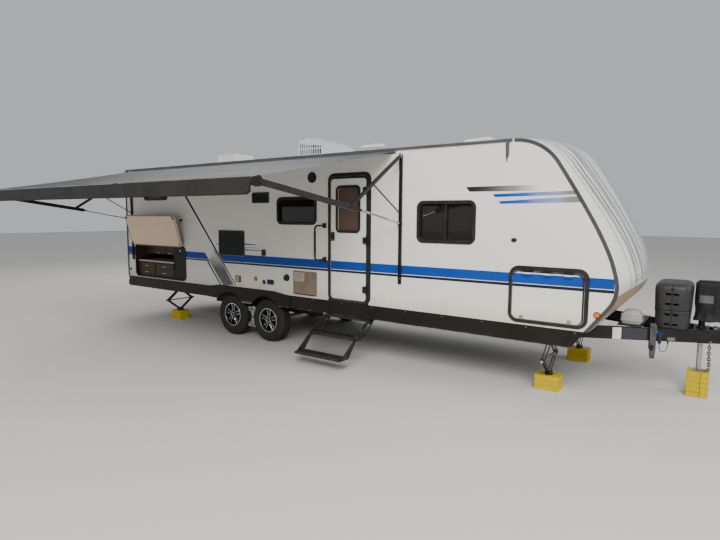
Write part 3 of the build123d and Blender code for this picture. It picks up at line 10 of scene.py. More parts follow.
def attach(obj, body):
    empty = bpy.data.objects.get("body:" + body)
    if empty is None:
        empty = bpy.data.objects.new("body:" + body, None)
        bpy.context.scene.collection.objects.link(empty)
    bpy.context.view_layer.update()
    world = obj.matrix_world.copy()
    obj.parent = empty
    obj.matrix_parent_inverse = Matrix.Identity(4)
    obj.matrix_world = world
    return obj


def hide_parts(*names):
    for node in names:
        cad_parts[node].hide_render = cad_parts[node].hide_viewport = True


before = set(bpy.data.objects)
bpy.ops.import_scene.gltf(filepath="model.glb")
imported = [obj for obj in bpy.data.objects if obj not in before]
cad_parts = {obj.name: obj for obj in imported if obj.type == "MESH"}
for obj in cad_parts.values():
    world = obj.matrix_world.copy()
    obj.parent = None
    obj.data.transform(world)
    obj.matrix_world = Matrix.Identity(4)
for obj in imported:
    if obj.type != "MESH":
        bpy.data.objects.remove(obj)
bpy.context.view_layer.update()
ground = -0.7


# Camera. It stands seven metres out from the drawbar's tip at eye height, turned back along
# the door side and tipped slightly down, with a slightly wide lens.
camera_place = Vector((-0.20, -7.257, 1.409))
camera_turn, camera_dip, camera_roll = radians(35.245), radians(5.968), radians(0.334)
camera_lens = 26.006
forward = Vector((-sin(camera_turn) * cos(camera_dip), cos(camera_turn) * cos(camera_dip),
                  -sin(camera_dip)))
level_right = Vector((cos(camera_turn), sin(camera_turn), 0))
level_up = level_right.cross(forward)
camera_right = cos(camera_roll) * level_right + sin(camera_roll) * level_up
camera_up = cos(camera_roll) * level_up - sin(camera_roll) * level_right
camera = bpy.data.objects.new("camera", bpy.data.cameras.new("camera"))
bpy.context.scene.collection.objects.link(camera)
camera.matrix_world = Matrix.Translation(camera_place) @ Matrix(
    (camera_right, camera_up, -forward)).transposed().to_4x4()
camera.data.sensor_width = 36.0
camera.data.lens = camera_lens
camera.data.clip_end = 200.0
bpy.context.scene.camera = camera


# Studio. A plain pale floor under the wheels, a pale surround, one broad soft light high over
# the door side, a weaker one ahead of the nose and a faint one behind.
studio_floor_tone = (0.62, 0.60, 0.57)
studio_surround_tone = (0.80, 0.83, 0.87)
floor_half = 60.0
floor_middle = (-4.0, 0.0, ground - 0.001)
surround_strength = 0.62
# Columns: where it stands, what it faces, its width, power and tone.
studio_lamps = (
    ((3.0, -12.0, 9.0), (-4.5, 0.0, 0.5), 8.0, 2900.0, (1.0, 0.97, 0.93)),
    ((9.0, 2.0, 5.0), (-1.5, 0.0, 0.8), 6.0, 420.0, (0.95, 0.97, 1.0)),
    ((-16.0, 6.0, 9.0), (-6.0, 0.0, 1.0), 8.0, 600.0, (1.0, 0.98, 0.95)),
)

floor_mesh = bpy.data.meshes.new("studio_floor")
floor_corners = [Vector(floor_middle) + Vector((x * floor_half, y * floor_half, 0))
                 for x, y in ((-1, -1), (1, -1), (1, 1), (-1, 1))]
floor_mesh.from_pydata(floor_corners, [], [(0, 1, 2, 3)])
studio_floor = bpy.data.objects.new("studio_floor", floor_mesh)
bpy.context.scene.collection.objects.link(studio_floor)
floor_paint = bpy.data.materials.new("studio_floor")
floor_paint.use_nodes = True
floor_shader = floor_paint.node_tree.nodes["Principled BSDF"]
floor_shader.inputs["Base Color"].default_value = (*studio_floor_tone, 1)
floor_shader.inputs["Roughness"].default_value = 0.9
floor_mesh.materials.append(floor_paint)

surround = bpy.data.worlds.new("studio")
surround.use_nodes = True
surround.node_tree.nodes["Background"].inputs["Color"].default_value = (*studio_surround_tone, 1)
surround.node_tree.nodes["Background"].inputs["Strength"].default_value = surround_strength
bpy.context.scene.world = surround

for number, (place, target, size, power, tone) in enumerate(studio_lamps):
    lamp = bpy.data.lights.new(f"soft_light_{number}", "AREA")
    lamp.size = size
    lamp.energy = power
    lamp.color = tone
    lamp_object = bpy.data.objects.new(lamp.name, lamp)
    bpy.context.scene.collection.objects.link(lamp_object)
    lamp_object.location = place
    lamp_object.rotation_euler = (Vector(target) - Vector(place)).to_track_quat("-Z", "Y").to_euler()


# Side and rear walls. Fibreglass sheet glued over a light frame, warm off-white, with a faint
# ripple from the rolling and thin road dust along the bottom edge.
wall_white = (0.800, 0.775, 0.715)
wall_shade = (0.755, 0.725, 0.660)
road_dust = (0.47, 0.40, 0.31)
plain_gloss = 0.28


def add_node(material, kind, **sockets):
    """One shader node. A socket is given a value or another node's output."""
    tree = material.node_tree
    made = tree.nodes.new(kind)
    for name, value in sockets.items():
        socket = made.inputs[name.replace("_", " ")]
        if isinstance(value, bpy.types.NodeSocket):
            tree.links.new(value, socket)
        else:
            socket.default_value = value
    return made


def place_in(material, stretch=(1, 1, 1)):
    """Where a point of the piece is, in metres, stretched along the axes."""
    where = material.node_tree.nodes.new("ShaderNodeTexCoord").outputs["Object"]
    return add_node(material, "ShaderNodeMapping", Vector=where, Scale=stretch).outputs["Vector"]


def cloudy(material, size, stretch=(1, 1, 1), detail=4.0):
    """A soft uneven pattern from 0 to 1, with patches of about the given size."""
    place = place_in(material, stretch)
    return add_node(material, "ShaderNodeTexNoise", Vector=place,
                    Scale=1 / size, Detail=detail).outputs["Fac"]


def spread(material, value, from_low, from_high, to_low, to_high):
    """The value moved from one range to another and held inside it."""
    return add_node(material, "ShaderNodeMapRange", Value=value, From_Min=from_low, From_Max=from_high,
                    To_Min=to_low, To_Max=to_high).outputs["Result"]


def two_tones(material, share, first, second):
    """The first colour where share is 0 and the second where it is 1."""
    mixed = material.node_tree.nodes.new("ShaderNodeMix")
    mixed.data_type = "RGBA"
    for socket, value in ((mixed.inputs[0], share), (mixed.inputs[6], first), (mixed.inputs[7], second)):
        if isinstance(value, bpy.types.NodeSocket):
            material.node_tree.links.new(value, socket)
        else:
            socket.default_value = (*value, 1) if isinstance(value, tuple) else value
    return mixed.outputs[2]


def sum_of(material, first, second, how="ADD"):
    """Two values put together by one sum."""
    made = material.node_tree.nodes.new("ShaderNodeMath")
    made.operation = how
    for socket, value in zip(made.inputs, (first, second)):
        if isinstance(value, bpy.types.NodeSocket):
            material.node_tree.links.new(value, socket)
        else:
            socket.default_value = value
    return made.outputs[0]


def place_along(material, axis):
    """How far along one axis a point of the piece is, in metres."""
    return add_node(material, "ShaderNodeSeparateXYZ", Vector=place_in(material)).outputs[axis]


def shader_of(material):
    """The surface shader of a finish."""
    return material.node_tree.nodes["Principled BSDF"]


def recolour(material, tone):
    """Gives a finish another tone."""
    material.node_tree.links.new(tone, shader_of(material).inputs["Base Color"])


def height_share(material, low, high):
    """1 at the low height, falling to 0 at the high one, with a ragged edge."""
    where = place_along(material, "Z")
    ragged = sum_of(material, cloudy(material, 0.09, (1, 1, 0.25)), 0.5, "SUBTRACT")
    shifted = sum_of(material, where, sum_of(material, ragged, (high - low) * 1.2, "MULTIPLY"))
    return spread(material, shifted, low, high, 1.0, 0.0)


def finish_of(name, light, dark, patch, rough, grain, depth, metal=0.0, dust=None, rough_range=0.12,
              stretch=(1, 1, 1)):
    """A worked surface: two close tones in patches, uneven gloss, a fine grain, and dust low down."""
    material = bpy.data.materials.new(name)
    material.use_nodes = True
    shader = shader_of(material)
    shader.inputs["Metallic"].default_value = metal
    shader.inputs["Specular IOR Level"].default_value = plain_gloss
    tone = two_tones(material, spread(material, cloudy(material, patch, stretch), 0.3, 0.7, 0.0, 1.0),
                     light, dark)
    gloss = spread(material, cloudy(material, patch * 0.37, stretch), 0.3, 0.7, rough - rough_range / 2,
                   rough + rough_range / 2)
    if dust:
        dusty = height_share(material, *dust)
        tone = two_tones(material, sum_of(material, dusty, 0.55, "MULTIPLY"), tone, road_dust)
        gloss = sum_of(material, gloss, sum_of(material, dusty, 0.25, "MULTIPLY"))
    recolour(material, tone)
    material.node_tree.links.new(gloss, shader.inputs["Roughness"])
    grained = cloudy(material, grain, stretch, 2.0)
    bump = add_node(material, "ShaderNodeBump", Height=grained, Distance=depth, Strength=1.0)
    material.node_tree.links.new(bump.outputs["Normal"], shader.inputs["Normal"])
    return material


def paint(material, *names):
    """Gives CAD nodes that finish."""
    for name in names:
        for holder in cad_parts[name].material_slots:
            holder.material = material


wall_sheet = finish_of("wall_sheet", wall_white, wall_shade,
                       1.3, 0.30, 0.004, 0.00006, dust=(0.13, 0.32), stretch=(0.4, 1, 1))
shader_of(wall_sheet).inputs["Coat Weight"].default_value = 0.25
paint(wall_sheet, "right_wall", "left_wall", "rear_wall")


# Stripes. Cut vinyl laid on the wall in one layer, a few tenths thick: the blue band and its dark
# line along the side, the raked grey bands at the rear and the darts ahead of the bedroom window.
stripe_blue = (0.002, 0.056, 0.360)
stripe_black = (0.008, 0.009, 0.015)
stripe_grey = (0.115, 0.120, 0.130)
stripe_silver = (0.43, 0.43, 0.42)
stripe_white = (0.88, 0.88, 0.86)
fading_height = (0.46, 0.80)
vinyl_lift = 0.0006
wall_face_y = 1.220
# Columns: colour, then the corners (x, height above the ground), going round.
stripe_shapes = (
    ("blue", ((-7.517, 1.437), (-1.100, 1.452), (-1.100, 1.339), (-7.411, 1.308))),
    ("navy", ((-7.407, 1.300), (-1.100, 1.332), (-1.100, 1.296), (-7.378, 1.270))),
    ("blue", ((-8.440, 1.430), (-7.896, 1.430), (-7.789, 1.314), (-8.440, 1.314))),
    ("navy", ((-8.440, 1.307), (-7.782, 1.307), (-7.760, 1.281), (-8.440, 1.281))),
    ("blue", ((-10.352, 1.453), (-10.121, 1.453), (-8.440, 1.430), (-8.440, 1.314), (-10.121, 1.318),
              (-10.352, 1.318))),
    ("navy", ((-10.352, 1.312), (-10.121, 1.312), (-8.440, 1.307), (-8.440, 1.281), (-10.121, 1.286),
              (-10.352, 1.286))),
    ("white", ((-8.500, 2.459), (-8.456, 2.459), (-7.112, 0.904), (-7.143, 0.904))),
    ("navy", ((-8.454, 2.459), (-8.384, 2.459), (-7.080, 0.904), (-7.110, 0.904))),
    ("white", ((-8.382, 2.459), (-8.340, 2.459), (-7.046, 0.904), (-7.078, 0.904))),
    ("navy", ((-7.834, 1.258), (-7.808, 1.281), (-7.449, 0.864), (-7.486, 0.862))),
    ("white", ((-7.806, 1.281), (-7.790, 1.294), (-7.416, 0.867), (-7.447, 0.864))),
    ("fade", ((-7.788, 1.294), (-7.645, 1.510), (-7.141, 0.904), (-7.414, 0.867))),
    ("grey", ((-6.854, 1.630), (-6.578, 1.625), (-6.548, 1.612), (-6.854, 1.604))),
    ("silver", ((-6.854, 1.574), (-6.505, 1.570), (-6.498, 1.558), (-6.854, 1.558))),
    ("grey", ((-6.854, 1.534), (-6.470, 1.531), (-6.452, 1.519), (-6.854, 1.514))),
    ("grey", ((-7.575, 1.606), (-7.498, 1.606), (-7.498, 1.592), (-7.560, 1.592))),
    ("dark_dart", ((-2.877, 2.467), (-2.390, 2.470), (-1.899, 2.467), (-1.896, 2.402), (-2.828, 2.408))),
    ("blue_dart", ((-2.531, 2.374), (-1.592, 2.396), (-1.568, 2.352), (-2.501, 2.337))),
    ("blue_dart", ((-2.462, 2.288), (-1.552, 2.334), (-1.530, 2.268), (-2.428, 2.257))),
)
# What carries the vinyl: body, side, then the stretches that it may cover, as rear x, front x,
# bottom and top height above the ground.
over_baggage = (-2.296, -1.408, 1.540, 3.0)
stripe_carriers = (
    ("caravan", -1, ((-10.340, -10.104, 0.85, 3.0), (-8.446, -5.043, 0.85, 3.0),
                     (-4.312, -2.296, 0.85, 3.0), over_baggage, (-1.408, -1.152, 0.85, 3.0))),
    ("caravan", 1, ((-10.340, -2.296, 0.85, 3.0), over_baggage, (-1.408, -1.152, 0.85, 3.0))),
    ("entry_door", -1, ((-4.999, -4.356, 0.85, 1.80),)),
    ("right_baggage_door", -1, ((-2.256, -1.448, 0.906, 1.482),)),
    ("left_baggage_door", 1, ((-2.256, -1.448, 0.906, 1.482),)),
)


def cut_to_stretch(corners, low, high):
    """The part of a flat shape whose x lies between low and high."""
    for limit, keep in ((low, 1), (high, -1)):
        kept = []
        for (x0, z0), (x1, z1) in zip(corners, corners[1:] + corners[:1]):
            inside0, inside1 = (x0 - limit) * keep >= 0, (x1 - limit) * keep >= 0
            if inside0:
                kept.append((x0, z0))
            if inside0 != inside1:
                share = (limit - x0) / (x1 - x0)
                kept.append((limit, z0 + share * (z1 - z0)))
        corners = kept
        if len(corners) < 3:
            return []
    return corners


def add_stripes(form, colour, y, stretches):
    """The shapes of one colour, cut to the stretches, standing at y."""
    for shape_colour, corners in stripe_shapes:
        if shape_colour != colour:
            continue
        for rear, front, bottom, top in stretches:
            part = cut_to_stretch(list(corners), rear, front)
            part = [(x, z) for z, x in cut_to_stretch([(z, x) for x, z in part], bottom, top)]
            if part:
                form.faces.new([form.verts.new((x, y, z + ground)) for x, z in part])


def make_piece(name, form, material, body, smooth=None, bevel=0.0, rounds=2):
    """An object from a bmesh, with its finish, on a body. smooth is the angle up to which edges blend."""
    bmesh.ops.recalc_face_normals(form, faces=form.faces)
    mesh = bpy.data.meshes.new(name)
    form.to_mesh(mesh)
    form.free()
    made = bpy.data.objects.new(name, mesh)
    bpy.context.scene.collection.objects.link(made)
    mesh.materials.append(material)
    if bevel:
        soften = made.modifiers.new("softened_edges", "BEVEL")
        soften.width = bevel
        soften.segments = rounds
        soften.limit_method = "ANGLE"
        soften.angle_limit = radians(35)
    if smooth:
        mesh.shade_smooth()
        mesh.set_sharp_from_angle(angle=radians(smooth))
    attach(made, body)
    return made


fading = finish_of("vinyl_fade", (0.10, 0.09, 0.085), (0.14, 0.13, 0.12), 0.3, 0.28, 0.003, 0.00003)
fading_share = spread(fading, place_along(fading, "Z"), *fading_height, 0.0, 1.0)
recolour(fading, two_tones(fading, fading_share, stripe_grey, wall_white))


def along_wall(name, stops):
    """Printed vinyl whose colour runs through the stops, each an x and a colour, along the wall."""
    made = finish_of(name, stops[0][1], stops[0][1], 0.5, 0.22, 0.003, 0.00003)
    x = place_along(made, "X")
    tone = stops[0][1]
    for (near, _), (far, colour) in zip(stops, stops[1:]):
        tone = two_tones(made, spread(made, x, near, far, 0.0, 1.0), tone, colour)
    recolour(made, tone)
    return made


dark_dart_stops = ((-2.75, (0.020, 0.020, 0.023)), (-2.55, (0.070, 0.070, 0.072)),
                   (-2.25, (0.25, 0.245, 0.235)), (-1.93, wall_white))
blue_dart_stops = ((-2.40, stripe_blue), (-2.14, (0.014, 0.110, 0.520)), (-2.04, (0.135, 0.190, 0.520)),
                   (-1.78, (0.26, 0.28, 0.48)), (-1.66, (0.20, 0.20, 0.21)))
vinyls = {
    "fade": fading,
    "white": finish_of("vinyl_white", stripe_white, tuple(0.93 * c for c in stripe_white),
                       0.5, 0.22, 0.003, 0.00003),
    "blue": finish_of("vinyl_blue", stripe_blue, tuple(0.82 * c for c in stripe_blue),
                      0.8, 0.22, 0.003, 0.00003),
    "navy": finish_of("vinyl_black", stripe_black, tuple(1.7 * c for c in stripe_black),
                      0.5, 0.22, 0.003, 0.00003),
    "dark_dart": along_wall("vinyl_dark_dart", dark_dart_stops),
    "blue_dart": along_wall("vinyl_blue_dart", blue_dart_stops),
    "grey": finish_of("vinyl_grey", stripe_grey, tuple(1.25 * c for c in stripe_grey),
                      0.5, 0.25, 0.003, 0.00003),
    "silver": finish_of("vinyl_silver", stripe_silver, tuple(0.8 * c for c in stripe_silver),
                        0.4, 0.28, 0.003, 0.00003, metal=0.4),
}
for body, side, stretches in stripe_carriers:
    for colour, vinyl in vinyls.items():
        form = bmesh.new()
        add_stripes(form, colour, side * (wall_face_y + vinyl_lift), stretches)
        if form.faces:
            side_name = "left" if side > 0 else "right"
            stripe = make_piece(f"stripes_{body}_{side_name}_{colour}", form, vinyl, body)
            outward = stripe.data.polygons[0].normal.y * side > 0
            if not outward:
                stripe.data.flip_normals()
        else:
            form.free()


# Nose cap. One thin gelcoat moulding from the roof down to the point of the nose, glossy white,
# with grey streaks laid along its height, and below it a tan sheet that runs back to the floor.
gelcoat_white = (0.83, 0.82, 0.79)
gelcoat_shade = (0.79, 0.78, 0.75)
panel_tan = (0.36, 0.27, 0.185)
streak_silver = (0.20, 0.205, 0.21)
streak_grey = (0.075, 0.078, 0.082)
streak_lift = 0.0008
cap_middle = Vector((-3.0, 0.0, 0.9))
# Each streak's colour, then its rows: the angle above level as seen from inside the nose, and
# the streak's two edges in y.
nose_streaks = (
    ("grey", ((57, -1.075, -1.062), (44, -1.060, -1.045), (30, -1.000, -0.984), (16, -0.925, -0.906),
              (2, -0.865, -0.848), (-8, -0.820, -0.806))),
    ("silver", ((55, -0.985, -0.960), (44, -0.965, -0.900), (30, -0.900, -0.800), (16, -0.800, -0.690),
                (2, -0.700, -0.600), (-8, -0.640, -0.560))),
    ("grey", ((52, -0.860, -0.845), (38, -0.800, -0.745), (24, -0.705, -0.640), (10, -0.600, -0.540),
              (-8, -0.500, -0.465))),
    ("silver", ((57, -0.720, -0.560), (44, -0.700, -0.470), (30, -0.600, -0.400), (16, -0.480, -0.300),
                (2, -0.400, -0.240), (-8, -0.340, -0.220))),
    ("grey", ((50, -0.420, -0.370), (34, -0.330, -0.270), (18, -0.220, -0.150), (2, -0.140, -0.080),
              (-8, -0.090, -0.055))),
)
streak_rows = 40
streak_parts = 3

gelcoat = finish_of("gelcoat", gelcoat_white, gelcoat_shade, 0.9, 0.16, 0.05, 0.00015, dust=(0.45, 0.62))
shader_of(gelcoat).inputs["Coat Weight"].default_value = 0.6
paint(gelcoat, "front_cap")
tan_sheet = finish_of("tan_sheet", panel_tan, (0.30, 0.215, 0.14),
                      0.35, 0.42, 0.01, 0.0004, dust=(0.13, 0.40))
paint(tan_sheet, "lower_front_panel")


def row_between(rows, share):
    """The streak's angle and edges at a share of its length, blended smoothly."""
    place = share * (len(rows) - 1)
    first = min(int(place), len(rows) - 2)
    ahead = place - first
    ease = ahead * ahead * (3 - 2 * ahead)
    angle = rows[first][0] + (rows[first + 1][0] - rows[first][0]) * ahead
    blend = 0.5 * ease + 0.5 * ahead
    edges = zip(rows[first][1:], rows[first + 1][1:])
    return [angle] + [near + (far - near) * blend for near, far in edges]


def lay_streaks(name, colour, finish):
    """Every streak of one colour, laid on the cap from outside, on both sides of the middle."""
    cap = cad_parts["front_cap"]
    tree = BVHTree.FromPolygons([v.co for v in cap.data.vertices], [p.vertices for p in cap.data.polygons])
    form = bmesh.new()
    for streak_colour, rows in nose_streaks:
        if streak_colour != colour:
            continue
        for side in (1, -1):
            last = None
            for step in range(streak_rows + 1):
                angle, low, high = row_between(rows, step / streak_rows)
                outward = Vector((cos(radians(angle)), 0, sin(radians(angle))))
                line = []
                for part in range(streak_parts + 1):
                    y = side * (low + (high - low) * part / streak_parts)
                    start = Vector((cap_middle.x, y, cap_middle.z)) + outward * 5
                    hit = tree.ray_cast(start, -outward)[0] or tree.find_nearest(start - outward * 3.1)[0]
                    line.append(form.verts.new(hit + outward * streak_lift))
                if last:
                    for part in range(streak_parts):
                        corners = (last[part], last[part + 1], line[part + 1], line[part])
                        form.faces.new(corners if side > 0 else corners[::-1])
                last = line
    return make_piece(name, form, finish, "caravan", smooth=60)


streak_finishes = {
    "silver": finish_of("streak_silver", (0.42, 0.42, 0.42), streak_silver,
                        0.12, 0.2, 0.01, 0.00005, stretch=(0.3, 1.6, 0.3)),
    "grey": finish_of("streak_grey", streak_grey, streak_silver,
                      0.10, 0.2, 0.01, 0.00005, stretch=(0.3, 1.2, 0.3)),
}
for colour, finish in streak_finishes.items():
    lay_streaks(f"nose_streaks_{colour}", colour, finish)


# Roof. White rubber membrane stuck over boards, a little chalky, with a bead of sealant round each
# thing that stands on it, gutters along both edges and dark strips over the body's corners.
membrane_white = (0.70, 0.69, 0.66)
strip_grey = (0.070, 0.072, 0.078)

membrane = finish_of("roof_membrane", membrane_white, (0.56, 0.55, 0.51),
                     0.45, 0.72, 0.03, 0.0015, stretch=(1, 0.35, 1))
paint(membrane, "roof")
strip_coat = finish_of("cover_strip", strip_grey, (0.11, 0.11, 0.115), 0.25, 0.38, 0.006, 0.0002, metal=0.3)
paint(strip_coat, "drip_rails", "awning_rail")
moulding_grey = finish_of("moulding_grey", (0.042, 0.044, 0.047), (0.062, 0.064, 0.067),
                          0.3, 0.40, 0.004, 0.0002)
paint(moulding_grey, "corner_mouldings")


# Floor and frame. A board floor with a dark underside on a welded steel frame, painted black,
# dusty along its lower flanges, with two tube axles on leaf springs below it.
frame_black = (0.007, 0.007, 0.008)
rust_brown = (0.085, 0.050, 0.032)

under_floor = finish_of("under_floor", (0.030, 0.030, 0.031), (0.055, 0.050, 0.045),
                        0.4, 0.75, 0.01, 0.0006)
paint(under_floor, "floor")
frame_paint = finish_of("frame_paint", frame_black, (0.014, 0.013, 0.012),
                        0.18, 0.42, 0.004, 0.0003, dust=(-0.36, -0.20))
paint(frame_paint, "chassis_frame", "axles")
spring_steel = finish_of("spring_steel", (0.030, 0.029, 0.028), rust_brown,
                         0.06, 0.60, 0.003, 0.0004, metal=0.4)
paint(spring_steel, "leaf_springs")


# Windows. Black plastic frames clamped through the wall round panes of bronze tinted glass. Each
# has a bead of sealant round its flange, and the two big ones slide on a lower rail with a latch.
trim_black = (0.012, 0.012, 0.013)
window_flange = 0.030
window_proud = 0.012
window_step = 0.012
window_lip = 0.006
bead_width = 0.004
# Columns: side, then rear x, front x, bottom and top height above the ground, corner radius, sliding.
window_places = (
    (-1, -3.524, -2.763, 1.790, 2.276, 0.060, True),
    (-1, -6.060, -5.296, 1.993, 2.360, 0.060, False),
    (-1, -9.700, -8.990, 2.410, 2.590, 0.040, False),
    (1, -3.524, -2.763, 1.790, 2.276, 0.060, True),
    (1, -6.000, -4.800, 1.690, 2.330, 0.060, True),
    (1, -9.300, -8.800, 2.100, 2.400, 0.060, False),
)

black_trim = finish_of("black_trim", trim_black, (0.025, 0.025, 0.026), 0.08, 0.36, 0.0015, 0.00008)
paint(black_trim, "window_frames", "door_frames")
bronze_glass = bpy.data.materials.new("bronze_glass")
bronze_glass.use_nodes = True
glass_shader = shader_of(bronze_glass)
glass_tone = two_tones(bronze_glass, cloudy(bronze_glass, 0.5), (0.008, 0.007, 0.006),
                       (0.016, 0.013, 0.011))
recolour(bronze_glass, glass_tone)
glass_shader.inputs["Roughness"].default_value = 0.035
glass_shader.inputs["IOR"].default_value = 1.52
glass_shader.inputs["Coat Weight"].default_value = 0.6
glass_shader.inputs["Specular IOR Level"].default_value = 0.22
paint(bronze_glass, "window_glass")
door_glass = finish_of("door_glass", (0.105, 0.070, 0.048), (0.088, 0.058, 0.040), 0.4, 0.20, 0.01, 0.00002)
paint(door_glass, "entry_door_glass")
sealant = finish_of("sealant", (0.50, 0.49, 0.46), (0.38, 0.37, 0.34), 0.03, 0.55, 0.002, 0.0003)


def rounded_outline(x0, x1, z0, z1, radius, corner_steps=6):
    """The outline of a rounded rectangle in the plane of a wall, going round once."""
    outline = []
    corners = ((x1 - radius, z0 + radius, -90), (x1 - radius, z1 - radius, 0),
               (x0 + radius, z1 - radius, 90), (x0 + radius, z0 + radius, 180))
    for cx, cz, first in corners:
        for step in range(corner_steps + 1):
            angle = radians(first + 90 * step / corner_steps)
            outline.append((cx + radius * cos(angle), cz + radius * sin(angle)))
    return outline


def inset_outline(box, inset, radius, corner_steps=6):
    """The rounded outline of a box, given as rear, front, bottom and top, drawn in by inset."""
    x0, x1, z0, z1 = box
    return rounded_outline(x0 + inset, x1 - inset, z0 + inset, z1 - inset, radius, corner_steps)


def join_loops(form, loops):
    """Skin from each closed loop of vertices to the next."""
    for first, second in zip(loops, loops[1:]):
        for at in range(len(first)):
            after = (at + 1) % len(first)
            form.faces.new((first[at], first[after], second[after], second[at]))


def add_ring(form, outer, inner, y_low, y_high):
    """A closed band between two outlines of the same count, standing from y_low to y_high."""
    loops = []
    for outline, y in ((outer, y_low), (outer, y_high), (inner, y_high), (inner, y_low)):
        loops.append([form.verts.new((x, y, z)) for x, z in outline])
    join_loops(form, loops + loops[:1])


def add_plate(form, outline, y_low, y_high):
    """A flat plate of an outline in the plane of a wall, from y_low to y_high."""
    near = [form.verts.new((x, y_low, z)) for x, z in outline]
    far = [form.verts.new((x, y_high, z)) for x, z in outline]
    form.faces.new(near)
    form.faces.new(far[::-1])
    for at in range(len(outline)):
        after = (at + 1) % len(outline)
        form.faces.new((near[at], far[at], far[after], near[after]))


def add_block(form, low, high):
    """A rectangular block between two corners."""
    (x0, y0, z0), (x1, y1, z1) = low, high
    add_plate(form, ((x0, z0), (x1, z0), (x1, z1), (x0, z1)), y0, y1)


sealant_beads = bmesh.new()
window_steps = bmesh.new()
window_latches = bmesh.new()
for side, x0, x1, low, high, radius, slides in window_places:
    z0, z1 = low + ground, high + ground
    face = side * wall_face_y
    pane = (x0, x1, z0, z1)
    grown = window_flange + bead_width
    outer = inset_outline(pane, -grown, radius + grown)
    inner = inset_outline(pane, -window_flange, radius + window_flange)
    add_ring(sealant_beads, outer, inner, face, face + side * bead_width)
    outer = inset_outline(pane, -window_step, radius + window_step)
    inner = inset_outline(pane, window_lip, radius - window_lip)
    add_ring(window_steps, outer, inner, face + side * window_proud,
             face + side * (window_proud + bead_width))
    if slides:
        x, z = (x0 + x1) / 2, (z0 + z1) / 2
        add_block(window_latches, (x - 0.012, face - side * 0.010, z - 0.035),
                  (x + 0.012, face + side * 0.012, z + 0.035))
        add_block(window_latches, (x0 + 0.03, face - side * 0.026, z0 + 0.014),
                  (x1 - 0.03, face + side * 0.002, z0 + 0.026))
make_piece("window_sealant", sealant_beads, sealant, "caravan", smooth=40)
make_piece("window_frame_steps", window_steps, black_trim, "caravan", bevel=0.0015)
make_piece("window_latches", window_latches, black_trim, "caravan", bevel=0.002)


# Roof spouts. Short tongues of moulded plastic pushed into the ends of the drip rails and glued
# there, which throw the rain clear of the wall.
spout_outline = ((-2.390, 2.262), (-2.352, 2.262), (-2.356, 2.110), (-2.366, 2.040), (-2.372, 2.040),
                 (-2.384, 2.110))

spouts = bmesh.new()
for side in (-1, 1):
    near, far = sorted((side * (wall_face_y + 0.0005), side * (wall_face_y + 0.009)))
    add_plate(spouts, spout_outline, near, far)
make_piece("drip_spouts", spouts, strip_coat, "caravan", bevel=0.0015)


# Doors. Fibreglass skins like the wall's over foam, flush with it, on black knuckle hinges. The
# entry door has a tall pane in a black surround, a paddle latch with two locks and a kick plate.
door_window = (-4.888, -4.474, 1.871, 2.526)
door_latch = (-4.990, -4.926, 1.740, 1.866)
baggage_latch_x = (-2.134, -1.597)
baggage_latch_z = (0.908, 0.952)
leaves_from_x, leaves_from_z = (-2.41, -2.40), (0.60, 0.61)
leaf_band_top = (0.749, 0.750)
leaf_root_low = (0.765, 0.766)
catch_black = (0.010, 0.010, 0.011)
# Flat mouldings, outer edge then inner edge: rear x, front x, bottom, top and corner radius.
entry_leaf_rim = ((-4.999, -4.356, 0.179, 1.967, 0.054), (-4.991, -4.365, 0.187, 1.934, 0.050))
entry_flange = ((-5.046, -4.280, 0.145, 2.016, 0.105), (-5.036, -4.318, 0.150, 2.006, 0.092))
kick_plate = (-4.975, -4.380, 0.195, 0.345, 0.012)
baggage_rim = ((-2.2545, -1.4495, 0.2075, 0.7805, 0.0725), (-2.2500, -1.4690, 0.2120, 0.7655, 0.0660))
baggage_flange = ((-2.2960, -1.3990, 0.1660, 0.8400, 0.1150), (-2.2880, -1.4230, 0.1740, 0.8060, 0.1000))
baggage_gap = ((-2.2615, -1.4425, 0.2005, 0.7875, 0.0795), (-2.2575, -1.4465, 0.2045, 0.7835, 0.0755))


def tone_of(material):
    """The tone that a finish has so far."""
    return shader_of(material).inputs["Base Color"].links[0].from_socket


door_skin = finish_of("door_skin", wall_white, wall_shade,
                      1.1, 0.27, 0.004, 0.00006, dust=(0.16, 0.34), stretch=(0.6, 1, 1))
# What stands proud of the skin, hinges and latches, is black: the skin's tone stops at its face.
skin_tone = tone_of(door_skin)
depth_out = place_along(door_skin, "Y")
stands_out = spread(door_skin, sum_of(door_skin, depth_out, 0.0, "ABSOLUTE"), wall_face_y + 0.0008,
                    wall_face_y + 0.0012, 0.0, 1.0)
# The baggage doors' hinge leaves are black at their roots, and the blue band runs over their ends.
door_height = place_along(door_skin, "Z")
past_entry = spread(door_skin, place_along(door_skin, "X"), *leaves_from_x, 0.0, 1.0)
on_leaves = sum_of(door_skin, past_entry, spread(door_skin, door_height, *leaves_from_z, 0.0, 1.0),
                   "MULTIPLY")
leaf_share = sum_of(door_skin, stands_out, on_leaves, "MULTIPLY")
band_share = sum_of(door_skin, leaf_share, spread(door_skin, door_height, *leaf_band_top, 1.0, 0.0),
                    "MULTIPLY")
root_share = sum_of(door_skin, leaf_share, spread(door_skin, door_height, *leaf_root_low, 0.0, 1.0),
                    "MULTIPLY")
proud_share = sum_of(door_skin, stands_out, sum_of(door_skin, 1.0, on_leaves, "SUBTRACT"), "MULTIPLY")
leaf_tone = two_tones(door_skin, band_share, skin_tone, stripe_blue)
leaf_tone = two_tones(door_skin, root_share, leaf_tone, catch_black)
recolour(door_skin, two_tones(door_skin, proud_share, leaf_tone, catch_black))
paint(door_skin, "entry_door", "right_baggage_door", "left_baggage_door")
bright_metal = finish_of("bright_metal", (0.66, 0.67, 0.69), (0.52, 0.53, 0.55),
                         0.02, 0.26, 0.001, 0.00005, metal=1.0)
